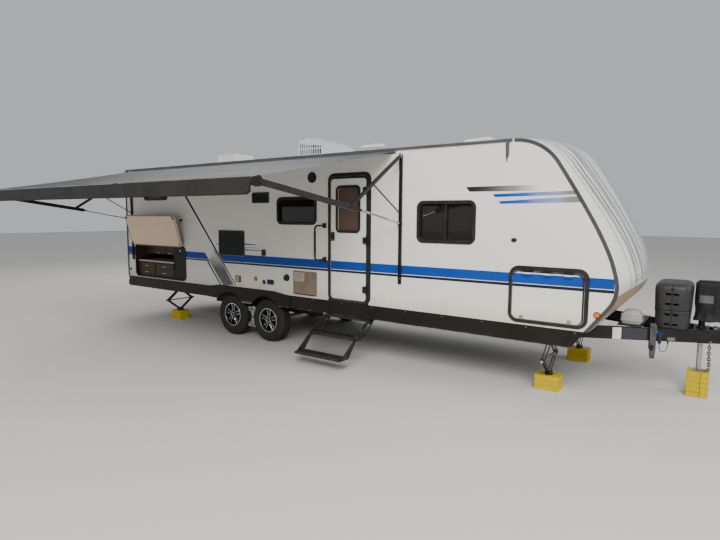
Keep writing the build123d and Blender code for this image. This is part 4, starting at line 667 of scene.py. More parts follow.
seal_rubber = finish_of("seal_rubber", (0.015, 0.015, 0.015), (0.03, 0.03, 0.03), 0.02, 0.7, 0.001, 0.0001)


def add_rod(form, start, end, radius, sides=16, end_radius=None):
    """A round bar, or a cone, between two points."""
    start, end = Vector(start), Vector(end)
    turn = (end - start).to_track_quat("Z", "Y").to_matrix().to_4x4()
    place = Matrix.Translation((start + end) / 2) @ turn
    far = radius if end_radius is None else end_radius
    bmesh.ops.create_cone(form, cap_ends=True, segments=sides, radius1=radius, radius2=far,
                          depth=(end - start).length, matrix=place)


def add_rim(form, edges, y_low, y_high):
    """A flat moulding between its outer and its inner edge."""
    add_ring(form, *[rounded_outline(*edge) for edge in edges], y_low, y_high)


skin_y = -wall_face_y
x0, x1, low, high = door_window
pane = (x0, x1, low + ground, high + ground)
surround = bmesh.new()
add_ring(surround, inset_outline(pane, -0.012, 0.072), inset_outline(pane, 0.026, 0.034), skin_y - 0.001,
         skin_y - 0.0125)
add_rim(surround, entry_leaf_rim, skin_y + 0.0002, skin_y - 0.0022)
make_piece("entry_door_surround", surround, black_trim, "entry_door", bevel=0.003)
x0, x1, low, high = door_latch
z0, z1 = low + ground, high + ground
latch = bmesh.new()
add_plate(latch, inset_outline((x0, x1, z0, z1), -0.002, 0.014), skin_y - 0.0005, skin_y - 0.0125)
add_plate(latch, rounded_outline(x0 + 0.008, x1 - 0.008, z0 + 0.030, z1 - 0.030, 0.010), skin_y - 0.0120,
          skin_y - 0.0215)
make_piece("entry_door_latch", latch, black_trim, "entry_door", bevel=0.002)
locks = bmesh.new()
for z in (z0 + 0.016, z1 - 0.016):
    add_rod(locks, ((x0 + x1) / 2, skin_y - 0.011, z), ((x0 + x1) / 2, skin_y - 0.0165, z), 0.0085, 20)
make_piece("entry_door_locks", locks, bright_metal, "entry_door", smooth=35)
flange = bmesh.new()
add_rim(flange, entry_flange, skin_y + 0.0005, skin_y - 0.0085)
make_piece("entry_frame_flange", flange, black_trim, "caravan", bevel=0.002)
kick = bmesh.new()
add_plate(kick, rounded_outline(*kick_plate), skin_y - 0.0004, skin_y - 0.0020)
make_piece("entry_door_kick_plate", kick, wall_sheet, "entry_door", bevel=0.0006)

catch_grey = finish_of("catch_grey", (0.27, 0.27, 0.265), (0.21, 0.21, 0.205), 0.05, 0.38, 0.001, 0.00008)
z0, z1 = baggage_latch_z[0] + ground, baggage_latch_z[1] + ground
for side, body in ((-1, "right_baggage_door"), (1, "left_baggage_door")):
    face = side * wall_face_y
    catches = bmesh.new()
    for x in baggage_latch_x:
        plate = rounded_outline(x - 0.023, x + 0.023, z0 - 0.001, z1 + 0.001, 0.009)
        add_plate(catches, plate, face + side * 0.0004, face + side * 0.0108)
        turner = rounded_outline(x - 0.006, x + 0.006, z0 + 0.006, z1 - 0.006, 0.005)
        add_plate(catches, turner, face + side * 0.0105, face + side * 0.0195)
    make_piece(f"{body}_catches", catches, catch_grey, body, bevel=0.0015)
    edge = bmesh.new()
    add_rim(edge, baggage_rim, face + side * 0.0004, face + side * 0.0026)
    make_piece(f"{body}_edge", edge, black_trim, body)
    flange = bmesh.new()
    add_rim(flange, baggage_flange, face - side * 0.0005, face + side * 0.0085)
    make_piece(f"{body}_flange", flange, black_trim, "caravan", bevel=0.002)
    seal = bmesh.new()
    add_rim(seal, baggage_gap, face - side * 0.001, face - side * 0.012)
    make_piece(f"{body}_seal", seal, seal_rubber, "caravan")


# Tyres. Radial trailer tyres, 28.5 inches over the tread, with four ribs cut by sipes, notched
# shoulders and raised rings on the side walls. The rubber is dusty on the tread.
wheel_x = (("front", -6.389), ("rear", -7.264))
wheel_sides = (("right", -1), ("left", 1))
wheel_y = 1.058
wheel_radius = 0.362
wheel_z = wheel_radius + ground
tyre_turns = 120
rubber_black = (0.016, 0.016, 0.017)
# Columns: radius, distance from the middle plane, how deep each third block is notched there.
tyre_half_profile = (
    (0.203, 0.0850, 0), (0.206, 0.0925, 0), (0.214, 0.0975, 0), (0.222, 0.1000, 0), (0.228, 0.1000, 0),
    (0.231, 0.0975, 0), (0.252, 0.1020, 0), (0.278, 0.1034, 0), (0.282, 0.1044, 0), (0.286, 0.1044, 0),
    (0.290, 0.1030, 0), (0.312, 0.1010, 0), (0.334, 0.0950, 0), (0.338, 0.0925, 0.0035),
    (0.350, 0.0855, 0.006), (0.357, 0.0760, 0.007), (0.3600, 0.0640, 0.007), (0.3605, 0.0580, 0.004),
    (0.3530, 0.0560, 0), (0.3530, 0.0480, 0), (0.3612, 0.0460, 0), (0.3618, 0.0300, 0.002),
    (0.3619, 0.0200, 0), (0.3535, 0.0180, 0), (0.3535, 0.0105, 0), (0.3620, 0.0085, 0),
)

tyre_rubber = finish_of("tyre_rubber", rubber_black, (0.034, 0.032, 0.029),
                        0.05, 0.72, 0.002, 0.00025, rough_range=0.2)
tyre_profile = list(tyre_half_profile) + [(r, -y, n) for r, y, n in reversed(tyre_half_profile)]
for place, x in wheel_x:
    for side_name, side in wheel_sides:
        form = bmesh.new()
        loops = []
        for turn in range(tyre_turns):
            angle = 2 * pi * turn / tyre_turns
            notched = turn % 3 == 2
            loop = []
            for radius, out, notch in tyre_profile:
                r = radius - (notch if notched else 0)
                loop.append(form.verts.new((x + r * cos(angle), side * wheel_y + out,
                                            wheel_z + r * sin(angle))))
            loops.append(loop)
        join_loops(form, loops + loops[:1])
        body = f"{place}_{side_name}_wheel"
        tyre = make_piece(f"{place}_{side_name}_tread", form, tyre_rubber, body, smooth=32)
        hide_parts(f"{place}_{side_name}_tyre")


# Rims. Cast alloy, painted gloss black, with the faces of the ten spokes and the outer ring turned
# bright afterwards. Five chrome nuts hold each, round a pressed centre cap.
rim_black = (0.010, 0.010, 0.011)
spoke_face = 0.0762
lip_face = 0.0942
lip_radii = (0.2005, 0.1885)
cap_face = 0.0900
cap_radii = (0.0345, 0.0290)
valve_ends = ((0.168, 0.052), (0.160, 0.090))
twin_spokes = 5
nut_circle = 0.82 * 0.057
nut_depths = (0.0780, 0.0955, 0.0960, 0.0990)
# A spoke's bright faces in its own place: across, then out from the hub. Mirrored for its twin.
spoke_facings = (
    ((0.0205, 0.050), (0.0275, 0.050), (0.0395, 0.179), (0.0330, 0.179)),
    ((0.0070, 0.066), (0.0105, 0.066), (0.0235, 0.168), (0.0205, 0.168)),
)


def round_outline(x, z, radius, count):
    """A circle's outline, going round once."""
    turns = [2 * pi * at / count for at in range(count)]
    return [(x + radius * cos(turn), z + radius * sin(turn)) for turn in turns]


rim_paint = finish_of("rim_paint", rim_black, (0.020, 0.020, 0.021),
                      0.06, 0.22, 0.003, 0.00005, rough_range=0.1)
turned_metal = finish_of("turned_metal", (0.70, 0.71, 0.73), (0.58, 0.59, 0.61),
                         0.012, 0.24, 0.0008, 0.00003, metal=1.0)
for place, x in wheel_x:
    for side_name, side in wheel_sides:
        paint(rim_paint, f"{place}_{side_name}_rim")
        body = f"{place}_{side_name}_wheel"
        middle_y = side * wheel_y

        def out_from(depth):
            """The Y of a distance out from the wheel's middle plane, on its outer side."""
            return middle_y + side * depth

        facings = bmesh.new()
        for turn in range(twin_spokes):
            angle = 2 * pi * turn / twin_spokes
            for hand in (-1, 1):
                for outline in spoke_facings:
                    turned = []
                    for across, out in outline:
                        across *= hand
                        turned.append((x + across * cos(angle) + out * sin(angle),
                                       wheel_z - across * sin(angle) + out * cos(angle)))
                    add_plate(facings, turned, out_from(spoke_face - 0.0010), out_from(spoke_face + 0.0012))
        rim_lip = [round_outline(x, wheel_z, radius, 72) for radius in lip_radii]
        add_ring(facings, *rim_lip, out_from(lip_face - 0.0010), out_from(lip_face + 0.0012))
        hub_cap = [round_outline(x, wheel_z, radius, 40) for radius in cap_radii]
        add_ring(facings, *hub_cap, out_from(cap_face), out_from(cap_face + 0.0025))
        make_piece(f"{body}_bright_faces", facings, turned_metal, body, bevel=0.0006, rounds=1)
        nuts = bmesh.new()
        for turn in range(twin_spokes):
            angle = 2 * pi * (turn + 0.5) / twin_spokes
            nut_x, nut_z = x + nut_circle * sin(angle), wheel_z + nut_circle * cos(angle)
            seat, collar, crown, tip = [(nut_x, out_from(depth), nut_z) for depth in nut_depths]
            add_rod(nuts, seat, crown, 0.0100, 6)
            add_rod(nuts, collar, tip, 0.0085, 16, 0.0045)
        make_piece(f"{body}_nuts", nuts, bright_metal, body, smooth=35)
        stem = bmesh.new()
        foot, tip = [(x + reach, out_from(depth), wheel_z) for reach, depth in valve_ends]
        add_rod(stem, foot, tip, 0.0045, 12, 0.0035)
        make_piece(f"{body}_valve", stem, tyre_rubber, body, smooth=40)


# Wheel chocks. Cast aluminium pads wedged between the two tyres by a screw through crossed links.
# The pads have a grey rubber facing, and a hexagon nut turns the screw.
chock_x = -6.8265
chock_half = 0.052
chock_pad_heights = ((0.457, 0.532), (0.192, 0.267))

cast_aluminium = finish_of("cast_aluminium", (0.62, 0.63, 0.65), (0.50, 0.51, 0.53),
                           0.05, 0.34, 0.002, 0.00015, metal=0.9)
paint(cast_aluminium, "wheel_chocks")
pad_rubber = finish_of("pad_rubber", (0.19, 0.19, 0.20), (0.14, 0.14, 0.145), 0.03, 0.7, 0.002, 0.0002)
facing = bmesh.new()
for side_name, side in wheel_sides:
    for low, high in chock_pad_heights:
        y = side * (wheel_y + 0.040)
        add_block(facing, (chock_x - chock_half, y - side * 0.001, low + ground + 0.012),
                  (chock_x + chock_half, y + side * 0.004, high + ground - 0.012))
    nut_y = side * (wheel_y + 0.030)
    add_rod(facing, (chock_x, nut_y - 0.004 * side, wheel_z), (chock_x, nut_y + 0.012 * side, wheel_z),
            0.017, 6)
make_piece("chock_facings", facing, pad_rubber, "caravan", bevel=0.002)


# Stabilisers. Scissor jacks of pressed steel arms on a long screw, zinc plated and gone dull, bolted
# under the rails and wound down onto blocks.
stabiliser_x = (-1.900, -9.250)
stabiliser_y = 0.800
screw_height = 0.405
screw_half = 0.330
screw_turns = 54

jack_paint = finish_of("jack_paint", (0.024, 0.024, 0.025), (0.060, 0.052, 0.046),
                       0.05, 0.48, 0.003, 0.0003, metal=0.3)
paint(jack_paint, "stabilisers")
thread = bmesh.new()
z = screw_height + ground
for x in stabiliser_x:
    for side in (-1, 1):
        for turn in range(screw_turns):
            y = side * stabiliser_y - screw_half + 0.006 + turn * 2 * (screw_half - 0.006) / (screw_turns - 1)
            add_rod(thread, (x, y - 0.0022, z), (x, y + 0.0022, z), 0.0112, 14)
        for end in (-1, 1):
            y = side * stabiliser_y + end * (screw_half - 0.004)
            add_rod(thread, (x, y - 0.006, z), (x, y + 0.006, z), 0.0155, 6)
make_piece("stabiliser_threads", thread, cast_aluminium, "caravan", smooth=35)


# Levelling blocks. Yellow moulded plastic squares that lock into each other by round studs, with
# webs moulded between their walls, scuffed by gravel and stacked under the jacks.
block_stacks = [(-0.390, 0.0, 0.2997, 0.110, 0.110)]
block_stacks += [(x, side * stabiliser_y, 0.180, 0.140, 0.110) for x in stabiliser_x for side in (-1, 1)]
block_tier = 0.060
web_shares = (-0.86, -0.43, 0.0, 0.43, 0.86)
stud_shares = ((-0.75, -0.25, 0.25, 0.75), (-0.72, 0.72))
block_joint_y = 0.1145

block_yellow = finish_of("block_yellow", (0.560, 0.425, 0.000), (0.500, 0.372, 0.000),
                         0.07, 0.42, 0.004, 0.0003, dust=(-0.71, -0.690), rough_range=0.2)
paint(block_yellow, "levelling_blocks")
webs = bmesh.new()
studs = bmesh.new()
for x, y, height, half_x, half_y in block_stacks:
    tiers = round(height / block_tier)
    tier_height = height / tiers
    for tier in range(tiers):
        low, high = ground + tier * tier_height + 0.008, ground + (tier + 1) * tier_height - 0.008
        for share in web_shares:
            for end in (-1, 1):
                web_y, web_x = y + end * half_y, x + share * half_x
                add_block(webs, (web_x - 0.005, web_y - end * 0.001, low),
                          (web_x + 0.005, web_y + end * 0.004, high))
                web_x, web_y = x + end * half_x, y + share * half_y
                add_block(webs, (web_x - end * 0.001, web_y - 0.005, low),
                          (web_x + end * 0.004, web_y + 0.005, high))
    top = ground + height
    for stud_x in stud_shares[0]:
        for stud_y in stud_shares[1]:
            place = (x + stud_x * half_x, y + stud_y * half_y)
            add_rod(studs, (*place, top - 0.002), (*place, top + 0.006), 0.014, 20, 0.012)
# The jack stands on blocks laid side by side; the dark strip up the pile where they meet is painted shade in
# the crack.
joint_shade = finish_of("joint_shade", (0.060, 0.034, 0.004), (0.030, 0.018, 0.003), 0.02, 0.7, 0.002, 0.0002)
joint_shade_strips = bmesh.new()
for end in (-1, 1):
    y = end * block_joint_y
    add_block(joint_shade_strips, (-0.3640, y - 0.0010, ground + 0.004), (-0.3600, y + 0.0010, ground + 0.296))
make_piece("block_joint_shade", joint_shade_strips, joint_shade, "caravan")
make_piece("block_webs", webs, block_yellow, "caravan", bevel=0.0015)
make_piece("block_studs", studs, block_yellow, "caravan", smooth=40)


# Skirts. Folded black sheet screwed up under the walls along its upper edge, with the arches cut
# out over the wheels and a rolled lip along the bottom.
skirt_screw_x = (-10.25, 0.545, 17)
skirt_arch = (-7.87, -5.78)
skirt_screw_z = 0.118

skirt_black = finish_of("skirt_black", (0.0065, 0.0052, 0.0046), (0.013, 0.0100, 0.0085),
                        0.35, 0.32, 0.006, 0.0002, dust=(-0.085, -0.050))
paint(skirt_black, "skirts")
skirt_screws = bmesh.new()
for side in (-1, 1):
    for number in range(skirt_screw_x[2]):
        x = skirt_screw_x[0] + number * skirt_screw_x[1]
        if not skirt_arch[0] < x < skirt_arch[1]:
            seat, head = (x, side * 1.214, skirt_screw_z), (x, side * 1.2205, skirt_screw_z)
            add_rod(skirt_screws, seat, head, 0.0065, 12, 0.0050)
make_piece("skirt_screws", skirt_screws, bright_metal, "caravan", smooth=40)


# Wheel-arch shade sheets. Black sheet hung outside the frame rails behind both wheels, from the floor
# down to the springs, with a folded lower edge: painted shade, hiding the pale floor beyond the arches.
shade_sheet_x = (-8.020, -5.420)
shade_sheet_y = (0.878, 0.881)
shade_sheet_height = (0.500, 0.818)

shade_sheet_black = finish_of("shade_sheet_black", (0.010, 0.010, 0.010), (0.020, 0.019, 0.018),
                        0.2, 0.60, 0.004, 0.0003)
# These black sheets are painted shade that keeps the arches and the space under the skirt dark.
shade_sheets = bmesh.new()
for side in (-1, 1):
    y0, y1 = sorted(side * y for y in shade_sheet_y)
    add_block(shade_sheets, (shade_sheet_x[0], y0, shade_sheet_height[0] + ground),
              (shade_sheet_x[1], y1, shade_sheet_height[1] + ground))
    y0, y1 = sorted((side * shade_sheet_y[0], side * (shade_sheet_y[1] + 0.010)))
    add_block(shade_sheets, (shade_sheet_x[0], y0, shade_sheet_height[0] + ground - 0.003),
              (shade_sheet_x[1], y1, shade_sheet_height[0] + ground))
make_piece("wheel_arch_shade_sheets", shade_sheets, shade_sheet_black, "caravan")


# Entry steps. Three aluminium treads, black coated, on side plates that fold up under the floor.
# Each tread has ribs along it, a gritty strip near its nose and rivets into the side plates.
# Columns: body, front edge y, height above the ground, rear x, front x.
treads = (
    ("upper_steps", -1.262, 0.632, -5.104, -4.336),
    ("upper_steps", -1.580, 0.420, -5.104, -4.336),
    ("lower_step", -1.900, 0.190, -5.116, -4.324),
)
step_middle_x = -4.720
step_pivot = (-1.550, 0.380)

step_black = finish_of("step_black", (0.020, 0.020, 0.021), (0.055, 0.052, 0.048),
                       0.10, 0.42, 0.003, 0.0003, metal=0.35)
paint(step_black, "upper_steps", "lower_step")
grit = finish_of("grit_strip", (0.030, 0.030, 0.031), (0.070, 0.068, 0.064), 0.01, 0.95, 0.0012, 0.0008)
for number, (body, front_y, height, x0, x1) in enumerate(treads):
    top = height + ground
    ribs = bmesh.new()
    for row in range(6):
        y = front_y + 0.064 + row * 0.022
        add_block(ribs, (x0 + 0.045, y, top - 0.0005), (x1 - 0.045, y + 0.004, top + 0.0016))
    for x in (x0 + 0.03, x1 - 0.03):
        for y in (front_y + 0.030, front_y + 0.175):
            add_rod(ribs, (x, y, top - 0.001), (x, y, top + 0.0022), 0.0065, 12, 0.0045)
    make_piece(f"step_ribs_{number}", ribs, step_black, body, bevel=0.0006, rounds=1)
    strip = bmesh.new()
    add_block(strip, (x0 + 0.040, front_y + 0.012, top - 0.0004),
              (x1 - 0.040, front_y + 0.036, top + 0.0012))
    make_piece(f"step_grit_{number}", strip, grit, body, bevel=0.0004, rounds=1)
step_bolts = {"upper_steps": bmesh.new(), "lower_step": bmesh.new()}
for end in (-1, 1):
    x = step_middle_x + end * 0.408
    y, z = step_pivot[0] + 0.032, step_pivot[1] + ground - 0.02
    add_rod(step_bolts["lower_step"], (x, y, z), (x + end * 0.0065, y, z), 0.0075, 14, 0.0055)
    for down in (0.14, 0.36):
        x = step_middle_x + end * 0.388
        y, z = -1.262 - down * 0.9, 0.600 - down * 0.62 + ground
        add_rod(step_bolts["upper_steps"], (x, y, z), (x + end * 0.0050, y, z), 0.0080, 14, 0.0055)
for body, form in step_bolts.items():
    make_piece(f"{body}_rivets", form, bright_metal, body, smooth=40)


# Grab handle. Bent aluminium tube with a black coat and a foam grip, on two sleeves that turn
# between fixed ears beside the door.
handle_x, handle_y, handle_reach = -5.107, -1.256, 0.200
handle_low, handle_high = 1.455 + ground, 1.960 + ground
handle_tube = 0.014
grip_low, grip_rings, grip_pitch = handle_low + 0.085, 26, 0.0130

handle_coat = finish_of("handle_coat", (0.014, 0.014, 0.015), (0.026, 0.026, 0.027),
                        0.05, 0.34, 0.001, 0.0001)
paint(handle_coat, "grab_handle")
foam = finish_of("foam_grip", (0.018, 0.018, 0.018), (0.034, 0.034, 0.034), 0.012, 0.85, 0.0015, 0.0006)
grip = bmesh.new()
grip_y = handle_y - handle_reach
for turn in range(grip_rings):
    z = grip_low + turn * grip_pitch
    add_rod(grip, (handle_x, grip_y, z), (handle_x, grip_y, z + 0.0112), handle_tube + 0.0035, 24)
grip_top = grip_low + grip_rings * grip_pitch - 0.0018
add_rod(grip, (handle_x, grip_y, grip_low), (handle_x, grip_y, grip_top), handle_tube + 0.0026, 24)
make_piece("handle_grip", grip, foam, "grab_handle", smooth=35)
handle_bits = bmesh.new()
for z in (handle_low, handle_high):
    for end in (-1, 1):
        place = z + end * 0.0345
        add_rod(handle_bits, (handle_x, handle_y, place), (handle_x, handle_y, place + end * 0.0035),
                0.0085, 14, 0.0060)
make_piece("handle_pins", handle_bits, bright_metal, "caravan", smooth=40)


# Wall fittings. Black moulded plastic screwed to the wall over sealant: the fridge's louvred vent,
# the hood's flap, a round speaker under its grille, the inlets with their caps, and two sockets.
# Columns: rear x, front x, bottom and top height above the ground, how far it stands out.
fridge_vent = (-7.498, -6.852, 1.416, 1.842, 0.014)
hood_vent = (-6.642, -6.260, 2.304, 2.471, 0.016)
heater = (-5.744, -5.268, 0.876, 1.245, 0.012)
small_hatches = ((-7.100, -6.957, 0.962, 1.073, 0.010), (-6.325, -6.174, 0.983, 1.060, 0.008),
                 (-6.431, -6.354, 1.447, 1.547, 0.024))
speaker = (-5.353, 2.672, 0.080, 0.014)
# Columns: x, height above the ground, radius, how far it stands out, radius of its flange.
inlets = ((-6.403, 1.009, 0.026, 0.010, 0.040), (-5.889, 1.120, 0.048, 0.030, 0.058))
cable_inlet = (-2.2515, 1.834 + ground)
hatch_catch = (-8.548, 2.002 + ground)
outlet_cover = small_hatches[0]
# Columns: the marks' rear, front, bottom and top, from the cover's lower rear corner. The last is a
# painted shadow down the cover's front side.
outlet_marks_and_shadow = ((0.028, 0.034, 0.030, 0.080), (0.062, 0.068, 0.030, 0.080), (0.034, 0.062, 0.052, 0.058),
                (0.108, 0.133, 0.012, 0.099))

fitting_black = finish_of("fitting_black", (0.013, 0.013, 0.014), (0.028, 0.028, 0.029),
                          0.06, 0.44, 0.0012, 0.00012)
paint(fitting_black, "wall_fittings")
beads = bmesh.new()
for x0, x1, low, high, proud in (fridge_vent, hood_vent, heater) + small_hatches:
    flange = (x0, x1, low + ground, high + ground)
    outer, inner = inset_outline(flange, -0.004, 0.018), inset_outline(flange, 0.002, 0.013)
    add_ring(beads, outer, inner, skin_y + 0.0005, skin_y - 0.0035)
make_piece("fitting_sealant", beads, sealant, "caravan", smooth=40)
screws = bmesh.new()
for x0, x1, low, high, proud in (fridge_vent, hood_vent) + small_hatches[:2]:
    for x in (x0 + 0.014, x1 - 0.014):
        for z in (low + 0.014 + ground, high - 0.014 + ground):
            add_rod(screws, (x, skin_y - proud + 0.0005, z), (x, skin_y - proud - 0.0022, z),
                    0.0050, 12, 0.0038)
x, height, radius, proud, flange = inlets[0]
z = height + ground
add_rod(screws, (x, skin_y - proud - 0.0065, z), (x, skin_y - proud - 0.0085, z), 0.0075, 16, 0.0060)
make_piece("fitting_screws", screws, bright_metal, "caravan", smooth=40)
grille = bmesh.new()
x, height, radius, proud = speaker
for row in range(-6, 7):
    for column in range(-6, 7):
        across, up = column * 0.0105 + (row % 2) * 0.00525, row * 0.0092
        if hypot(across, up) < radius - 0.020:
            hole_x, z = x + across, height + ground + up
            start, end = (hole_x, skin_y - proud + 0.0005, z), (hole_x, skin_y - proud - 0.0016, z)
            add_rod(grille, start, end, 0.0032, 8, 0.0024)
grille_rim = [round_outline(x, height + ground, edge, 48) for edge in (radius - 0.002, radius - 0.014)]
add_ring(grille, *grille_rim, skin_y - proud + 0.0005, skin_y - proud - 0.0035)
make_piece("speaker_grille", grille, fitting_black, "caravan", smooth=35)
caps = bmesh.new()
for x, height, radius, proud, flange in inlets:
    z = height + ground
    add_rod(caps, (x, skin_y - proud + 0.001, z), (x, skin_y - proud - 0.004, z), radius * 0.86,
            32, radius * 0.78)
    add_rod(caps, (x, skin_y - 0.001, z), (x, skin_y - 0.004, z), flange, 32, flange * 0.93)
    add_block(caps, (x - radius * 0.18, skin_y - proud - 0.007, z - radius * 0.6),
              (x + radius * 0.18, skin_y - proud - 0.003, z + radius * 0.6))
for x0, x1, low, high, proud in small_hatches[1:]:
    z0, z1 = low + ground, high + ground
    middle = (x0 + x1) / 2
    add_plate(caps, inset_outline((x0, x1, z0, z1), 0.010, 0.006), skin_y - proud + 0.001,
              skin_y - proud - 0.0022)
    add_block(caps, (middle - 0.012, skin_y - proud - 0.005, z0 + 0.013),
              (middle + 0.012, skin_y - proud - 0.0015, z0 + 0.021))
x0, x1, low, high, proud = outlet_cover
z0 = low + ground
# Three dark marks on the pale cover, and a painted shadow down its front side.
for rear, front, bottom, top in outlet_marks_and_shadow:
    add_block(caps, (x0 + rear, skin_y - proud - 0.0036, z0 + bottom),
              (x0 + front, skin_y - proud - 0.0015, z0 + top))
outlet_pale = finish_of("outlet_pale", (0.47, 0.43, 0.36), (0.40, 0.36, 0.30), 0.05, 0.42, 0.002, 0.0001)
outlet = bmesh.new()
add_plate(outlet, inset_outline((x0, x1, z0, high + ground), 0.009, 0.006), skin_y - proud + 0.001,
          skin_y - proud - 0.0024)
make_piece("outlet_cover", outlet, outlet_pale, "caravan", bevel=0.0008)
vent_top = fridge_vent[3] + ground
for x in (-7.300, -7.050):
    add_block(caps, (x - 0.014, skin_y - 0.0175, vent_top - 0.024),
              (x + 0.014, skin_y - 0.013, vent_top - 0.006))
# The cable inlet ahead of the bedroom window, and the catch that holds the galley hatch up.
x, z = cable_inlet
oval = [(x + 0.035 * cos(2 * pi * at / 32), z + 0.025 * sin(2 * pi * at / 32)) for at in range(32)]
add_plate(caps, oval, skin_y - 0.0005, skin_y - 0.010)
add_rod(caps, (x, skin_y - 0.009, z), (x, skin_y - 0.014, z), 0.013, 20, 0.011)
x, z = hatch_catch
add_block(caps, (x - 0.020, skin_y - 0.006, z - 0.026), (x + 0.020, skin_y - 0.0005, z + 0.026))
add_block(caps, (x - 0.010, skin_y - 0.048, z - 0.012), (x + 0.010, skin_y - 0.005, z + 0.012))
make_piece("fitting_caps", caps, fitting_black, "caravan", smooth=35, bevel=0.0008)


# Water heater door. Pressed steel painted brown, with a sunk field, a lighter pressed plate at its
# top, the exhaust's mouth beside it, a painted shadow along its foot and a wire latch.
heater_brown = (0.25, 0.185, 0.132)

heater_paint = finish_of("heater_paint", heater_brown, (0.20, 0.148, 0.106), 0.14, 0.40, 0.003, 0.0002)
paint(heater_paint, "heater_cover")
heater_mesh = finish_of("heater_mesh", (0.36, 0.32, 0.26), (0.29, 0.255, 0.205), 0.06, 0.46, 0.0016, 0.0002)
heater_light = finish_of("heater_light", (0.56, 0.50, 0.42), (0.49, 0.43, 0.35), 0.08, 0.42, 0.002, 0.0002)
x0, x1, low, high, proud = heater
z0, z1 = low + ground, high + ground
middle = (x0 + x1) / 2
face_y = skin_y - proud
field = (x0 + 0.022, x0 + 0.232, z1 - 0.155, z1 - 0.021)
plate = bmesh.new()
add_plate(plate, inset_outline(field, 0.004, 0.004), face_y + 0.0045, face_y - 0.0008)
make_piece("heater_plate", plate, heater_mesh, "caravan", bevel=0.001)
border = bmesh.new()
add_ring(border, inset_outline(field, 0, 0.006), inset_outline(field, 0.011, 0.003), face_y + 0.0030,
         face_y - 0.0024)
for row in range(1, 5):
    z = field[2] + row * (field[3] - field[2]) / 5
    add_block(border, (field[0] + 0.008, face_y - 0.0016, z - 0.0022),
              (field[1] - 0.008, face_y + 0.0010, z + 0.0022))
make_piece("heater_plate_border", border, heater_light, "caravan", smooth=35)
mouth = bmesh.new()
exhaust = (x0 + 0.150, x1 - 0.060, z1 - 0.110, z1 - 0.060)
add_plate(mouth, inset_outline(exhaust, 0.001, 0.007), face_y + 0.0098, face_y + 0.0022)
make_piece("heater_mouth", mouth, heater_paint, "caravan", bevel=0.0008)
# A near-black strip along the door's foot: painted shadow under its lower edge.
foot_shadow = bmesh.new()
add_plate(foot_shadow, rounded_outline(x0 + 0.040, x1 - 0.030, z0 + 0.003, z0 + 0.017, 0.006), face_y + 0.0040,
          face_y - 0.0006)
make_piece("heater_foot_shadow", foot_shadow, fitting_black, "caravan")
wire = bmesh.new()
for z in (z0 + 0.034, z0 + 0.052):
    add_rod(wire, (middle - 0.030, face_y - 0.003, z), (middle + 0.030, face_y - 0.003, z), 0.0022, 10)
for x in (middle - 0.030, middle + 0.030):
    add_rod(wire, (x, face_y - 0.003, z0 + 0.032), (x, face_y - 0.003, z0 + 0.054), 0.0022, 10)
    add_rod(wire, (x, face_y + 0.005, z0 + 0.043), (x, face_y - 0.004, z0 + 0.043), 0.0030, 10)
for across, down in ((0.252, 0.046), (0.275, 0.257)):
    x, z = x0 + across, z1 - down
    add_rod(wire, (x, face_y + 0.006, z), (x, face_y - 0.001, z), 0.0055, 14, 0.0042)
make_piece("heater_latch", wire, bright_metal, "caravan", smooth=40)


# Lights. Round side markers, amber ahead and red at the rear corner, two tail lamps and a row of
# five small ones under the roof's edge: moulded lenses over reflectors, on dark bases.
# Columns: x, height above the ground, radius of the base.
side_markers = ((-1.3120, 1.046, 0.0375), (-6.597, 1.051, 0.0375), (-10.290, 0.986, 0.0300))
base_rim = 0.0065
rear_x = -10.380
red_from_x = -10.20
lens_red = (0.42, 0.010, 0.010)

lens_moulding = finish_of("lens_moulding", (0.72, 0.16, 0.004), (0.60, 0.115, 0.004),
                          0.008, 0.24, 0.0016, 0.0003)
amber_share = spread(lens_moulding, place_along(lens_moulding, "X"), red_from_x,
                     red_from_x + 0.001, 0.0, 1.0)
recolour(lens_moulding, two_tones(lens_moulding, amber_share, lens_red, tone_of(lens_moulding)))
shader_of(lens_moulding).inputs["Coat Weight"].default_value = 0.15
paint(lens_moulding, "lights")
bases = bmesh.new()
domes = bmesh.new()
for x, height, reach in side_markers:
    for side in (-1, 1):
        outlines = [round_outline(x, height + ground, edge, 32) for edge in (reach, reach - base_rim)]
        add_ring(bases, *outlines, side * (wall_face_y - 0.0005), side * (wall_face_y + 0.0060))
        depth = 0.0005 + 0.33 * (reach - base_rim)
        start, turned, crown, tip = [(x, side * (wall_face_y + out), height + ground)
                                     for out in (0.0005, depth * 0.8, depth * 0.79, depth)]
        add_rod(domes, start, turned, reach - base_rim - 0.0001, 32, reach - 0.0095)
        add_rod(domes, crown, tip, reach - 0.0096, 32, (reach - 0.0096) * 0.8)
for side in (-1, 1):
    y0, y1 = sorted((side * 0.984, side * 1.166))
    for low_z, high_z in ((0.474, 0.4795), (0.6305, 0.636)):
        add_block(bases, (rear_x - 0.020, y0, low_z), (rear_x + 0.0005, y1, high_z))
    for y in (y0, y1):
        add_block(bases, (rear_x - 0.020, y - 0.003, 0.474), (rear_x + 0.0005, y + 0.003, 0.636))
    add_block(bases, (rear_x - 0.0312, y0 + 0.006, 0.5530), (rear_x - 0.0290, y1 - 0.006, 0.5570))
make_piece("marker_domes", domes, lens_moulding, "caravan", smooth=50)
make_piece("light_bases", bases, black_trim, "caravan", smooth=35)


# Galley hatch. The same skin as the wall outside, beige sheet inside with a dark edge moulding,
# laid back against a catch on the wall, with turning latches at its corners.
kitchen_x = (-10.080, -8.470)
kitchen_z = (0.880 + ground, 1.500 + ground)
hatch_hinge = Vector((0, -1.240, 0.804))
hatch_open = radians(165)
hatch_skin_y = (-1.2216, -1.2204)
hatch_inner_y = -1.190
hatch_catch_y = -1.1825
hatch_pin = 0.0068
hatch_strap_x = (-9.900, -9.275, -8.650)
hatch_beige = (0.90, 0.67, 0.48)

